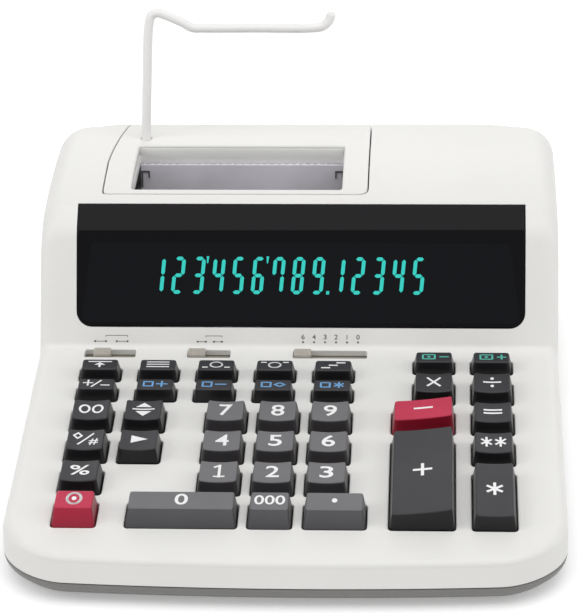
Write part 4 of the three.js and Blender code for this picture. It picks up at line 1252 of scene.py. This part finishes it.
def paper_arm():
    """The bent wire: a post, a shoulder, the roll bar and an upturned tip."""
    route = [
        (0, -SOCKET_DEPTH + 0.4), (0, 0), (0.4, ARM_PEAK * 0.25), (0.9, ARM_PEAK * 0.5),
        (1.4, ARM_PEAK * 0.75), (1.9, ARM_PEAK - 6), (3.1, ARM_PEAK - 1.2), (5.2, ARM_PEAK),
        (8.2, ARM_PEAK - 0.7), (15.2, ARM_BAR + 2.6), (19.8, ARM_BAR + 0.2), (24, ARM_BAR),
        (45, ARM_BAR), (ARM_REACH - 8, ARM_BAR), (ARM_REACH - 3.4, ARM_BAR + 0.7),
        (ARM_REACH - 0.8, ARM_BAR + 3), (ARM_REACH, ARM_BAR + 5.15),
    ]
    path = catmull([Vector(p) for p in route], 10)
    end = [(0.25, 0.0), (0.7, 0.3), (0.93, 0.65)]
    sections = [(path[0], share, reach) for share, reach in end + [(1, 1)]]
    sections += [(here, 1, 0) for here in path[1:]]
    sections += [(path[-1], share, (1 - reach) * 0.9) for share, reach in reversed(end)]
    sides = [2 * pi * k / 24 for k in range(24)]
    rings = []
    for here, share, shift in sections:
        i = path.index(here)
        along = (path[min(i + 1, len(path) - 1)] - path[max(i - 1, 0)]).normalized()
        middle = here + along * WIRE * shift
        across = WIRE * share
        rings.append([
            (middle.x + along.y * across * cos(side), across * sin(side),
             middle.y - along.x * across * cos(side)) for side in sides])
    arm = piece("roll_arm", *moved_by(stacked(rings), arm_frame), "paper_arm", arm_coat,
                "arm_white", angle=60)
    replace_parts(arm, "paper_arm")


def catmull(points, steps):
    """A smooth line through points, with centripetal spacing."""
    ends = [points[0] * 2 - points[1]] + points + [points[-1] * 2 - points[-2]]
    line = []
    for four in zip(ends, ends[1:], ends[2:], ends[3:]):
        knots = [0.0]
        for a, b in zip(four, four[1:]):
            knots.append(knots[-1] + sqrt((b - a).length))
        for k in range(steps):
            t = knots[1] + (knots[2] - knots[1]) * k / steps
            level = four
            for spans in (((0, 1), (1, 2), (2, 3)), ((0, 2), (1, 3)), ((1, 2),)):
                level = [a.lerp(b, (t - knots[i]) / (knots[j] - knots[i]))
                         for a, b, (i, j) in zip(level, level[1:], spans)]
            line.append(level[0])
    return line + [points[-1]]


# ---------- inner parts

def inner_parts():
    """The inner parts keep their CAD shape."""
    for name, material in {
        "display_tube": tube_glass, "printer_frame": steel, "platen_roller": rubber,
        "type_drum": drum_grey, "ink_roller": felt, "printer_motor": steel,
        "power_transformer": iron, "cord_gland": rubber, "main_board": board_green,
        "key_mat": mat_grey,
    }.items():
        paint(frame["nodes"][name], material)
        soften(frame["nodes"][name], 0.2, 40)


# ---------- studio

LIGHTS = (                # name, place, aim, size in metres, and power in watts
    ("top_light", (0.1, -0.3, 1.5), (0, 0.02, 0.05), (1.6, 1.2), 10.6),
    ("left_light", (-1.3, -0.5, 0.9), (0, 0, 0.03), (0.8, 1.0), 5),
    ("right_light", (1.4, -0.3, 0.8), (0, 0, 0.03), (0.7, 1.0), 4),
    ("back_light", (0, 1.5, 0.8), (0, 0, 0.05), (1.8, 0.5), 4),
)
WORLD_LIGHT = 0.45        # how strongly the surroundings light the object
FLOOR_GLOW = 0.3
FLOOR = ((-6, -4, 0), (6, -4, 0), (6, 8, 0), (-6, 8, 0))
CAMERA_PLACE = (0.05559, -0.90811, 0.5448)
CAMERA_RIGHT = Vector((0.99843, 0.0513, -0.02252))
CAMERA_DOWN = Vector((0.00452, -0.47445, -0.88027))
CAMERA_FORWARD = Vector((-0.05584, 0.87879, -0.47394))
CAMERA_LENS = 156.8


def seen_directly(tree):
    """1 for what the camera sees, also by reflection or through glass, and 0 for lighting."""
    ray = tree.nodes.new("ShaderNodeLightPath")
    seen = ray.outputs["Is Camera Ray"]
    for kind in ("Is Glossy Ray", "Is Transmission Ray"):
        seen = added(tree, "Math", {0: seen, 1: ray.outputs[kind]}, operation="MAXIMUM")
    return seen


def studio():
    floor = bpy.data.meshes.new("floor")
    floor.from_pydata(FLOOR, [], [range(len(FLOOR))])
    floor.materials.append(pale_floor())
    linked("floor", floor)
    scene = bpy.context.scene
    scene.world = scene.world or bpy.data.worlds.new("studio")
    scene.world.use_nodes = True
    tree = scene.world.node_tree
    strength = added(tree, "MapRange", {"Value": seen_directly(tree), "To Min": WORLD_LIGHT})
    feed(tree, tree.nodes["Background"], {"Color": (1, 1, 1, 1), "Strength": strength})
    for name, place, aim, size, power in LIGHTS:
        lamp = bpy.data.lights.new(name, "AREA")
        lamp.shape = "RECTANGLE"
        lamp.size, lamp.size_y = size
        lamp.energy = power
        holder = linked(name, lamp)
        holder.location = place
        holder.rotation_mode = "QUATERNION"
        holder.rotation_quaternion = (Vector(aim) - Vector(place)).to_track_quat("-Z", "Y")


def pale_floor():
    material = finish("pale_floor", (0.86, 0.86, 0.86), 0.6, 0.004, 0.05, 300)
    tree = material.node_tree
    glow = added(tree, "MapRange", {"Value": seen_directly(tree), "To Max": FLOOR_GLOW})
    feed(tree, tree.nodes["Principled BSDF"], {
        "Emission Color": (1, 1, 1, 1), "Emission Strength": glow})
    return material


def camera():
    """A long lens above and in front of the desk edge, turned a little to the left."""
    lens = bpy.data.cameras.new("camera")
    lens.sensor_width = 36
    lens.lens = CAMERA_LENS
    holder = linked("camera", lens)
    turn = Matrix((CAMERA_RIGHT, -CAMERA_DOWN, -CAMERA_FORWARD)).transposed().to_4x4()
    holder.matrix_world = Matrix.Translation(CAMERA_PLACE) @ turn
    bpy.context.scene.camera = holder


# ---------- assembly

camera()
studio()
bpy.context.scene.view_settings.view_transform = "Standard"
top_case()
printer_cover()
chute()
lower_case()
feet()
display()
for key in key_boxes:
    key_cap(key)
for key, legend in legends().items():
    key_legend("key_" + key, legend)
slides()
slot_marks()
tear_plate()
paper_arm()
inner_parts()
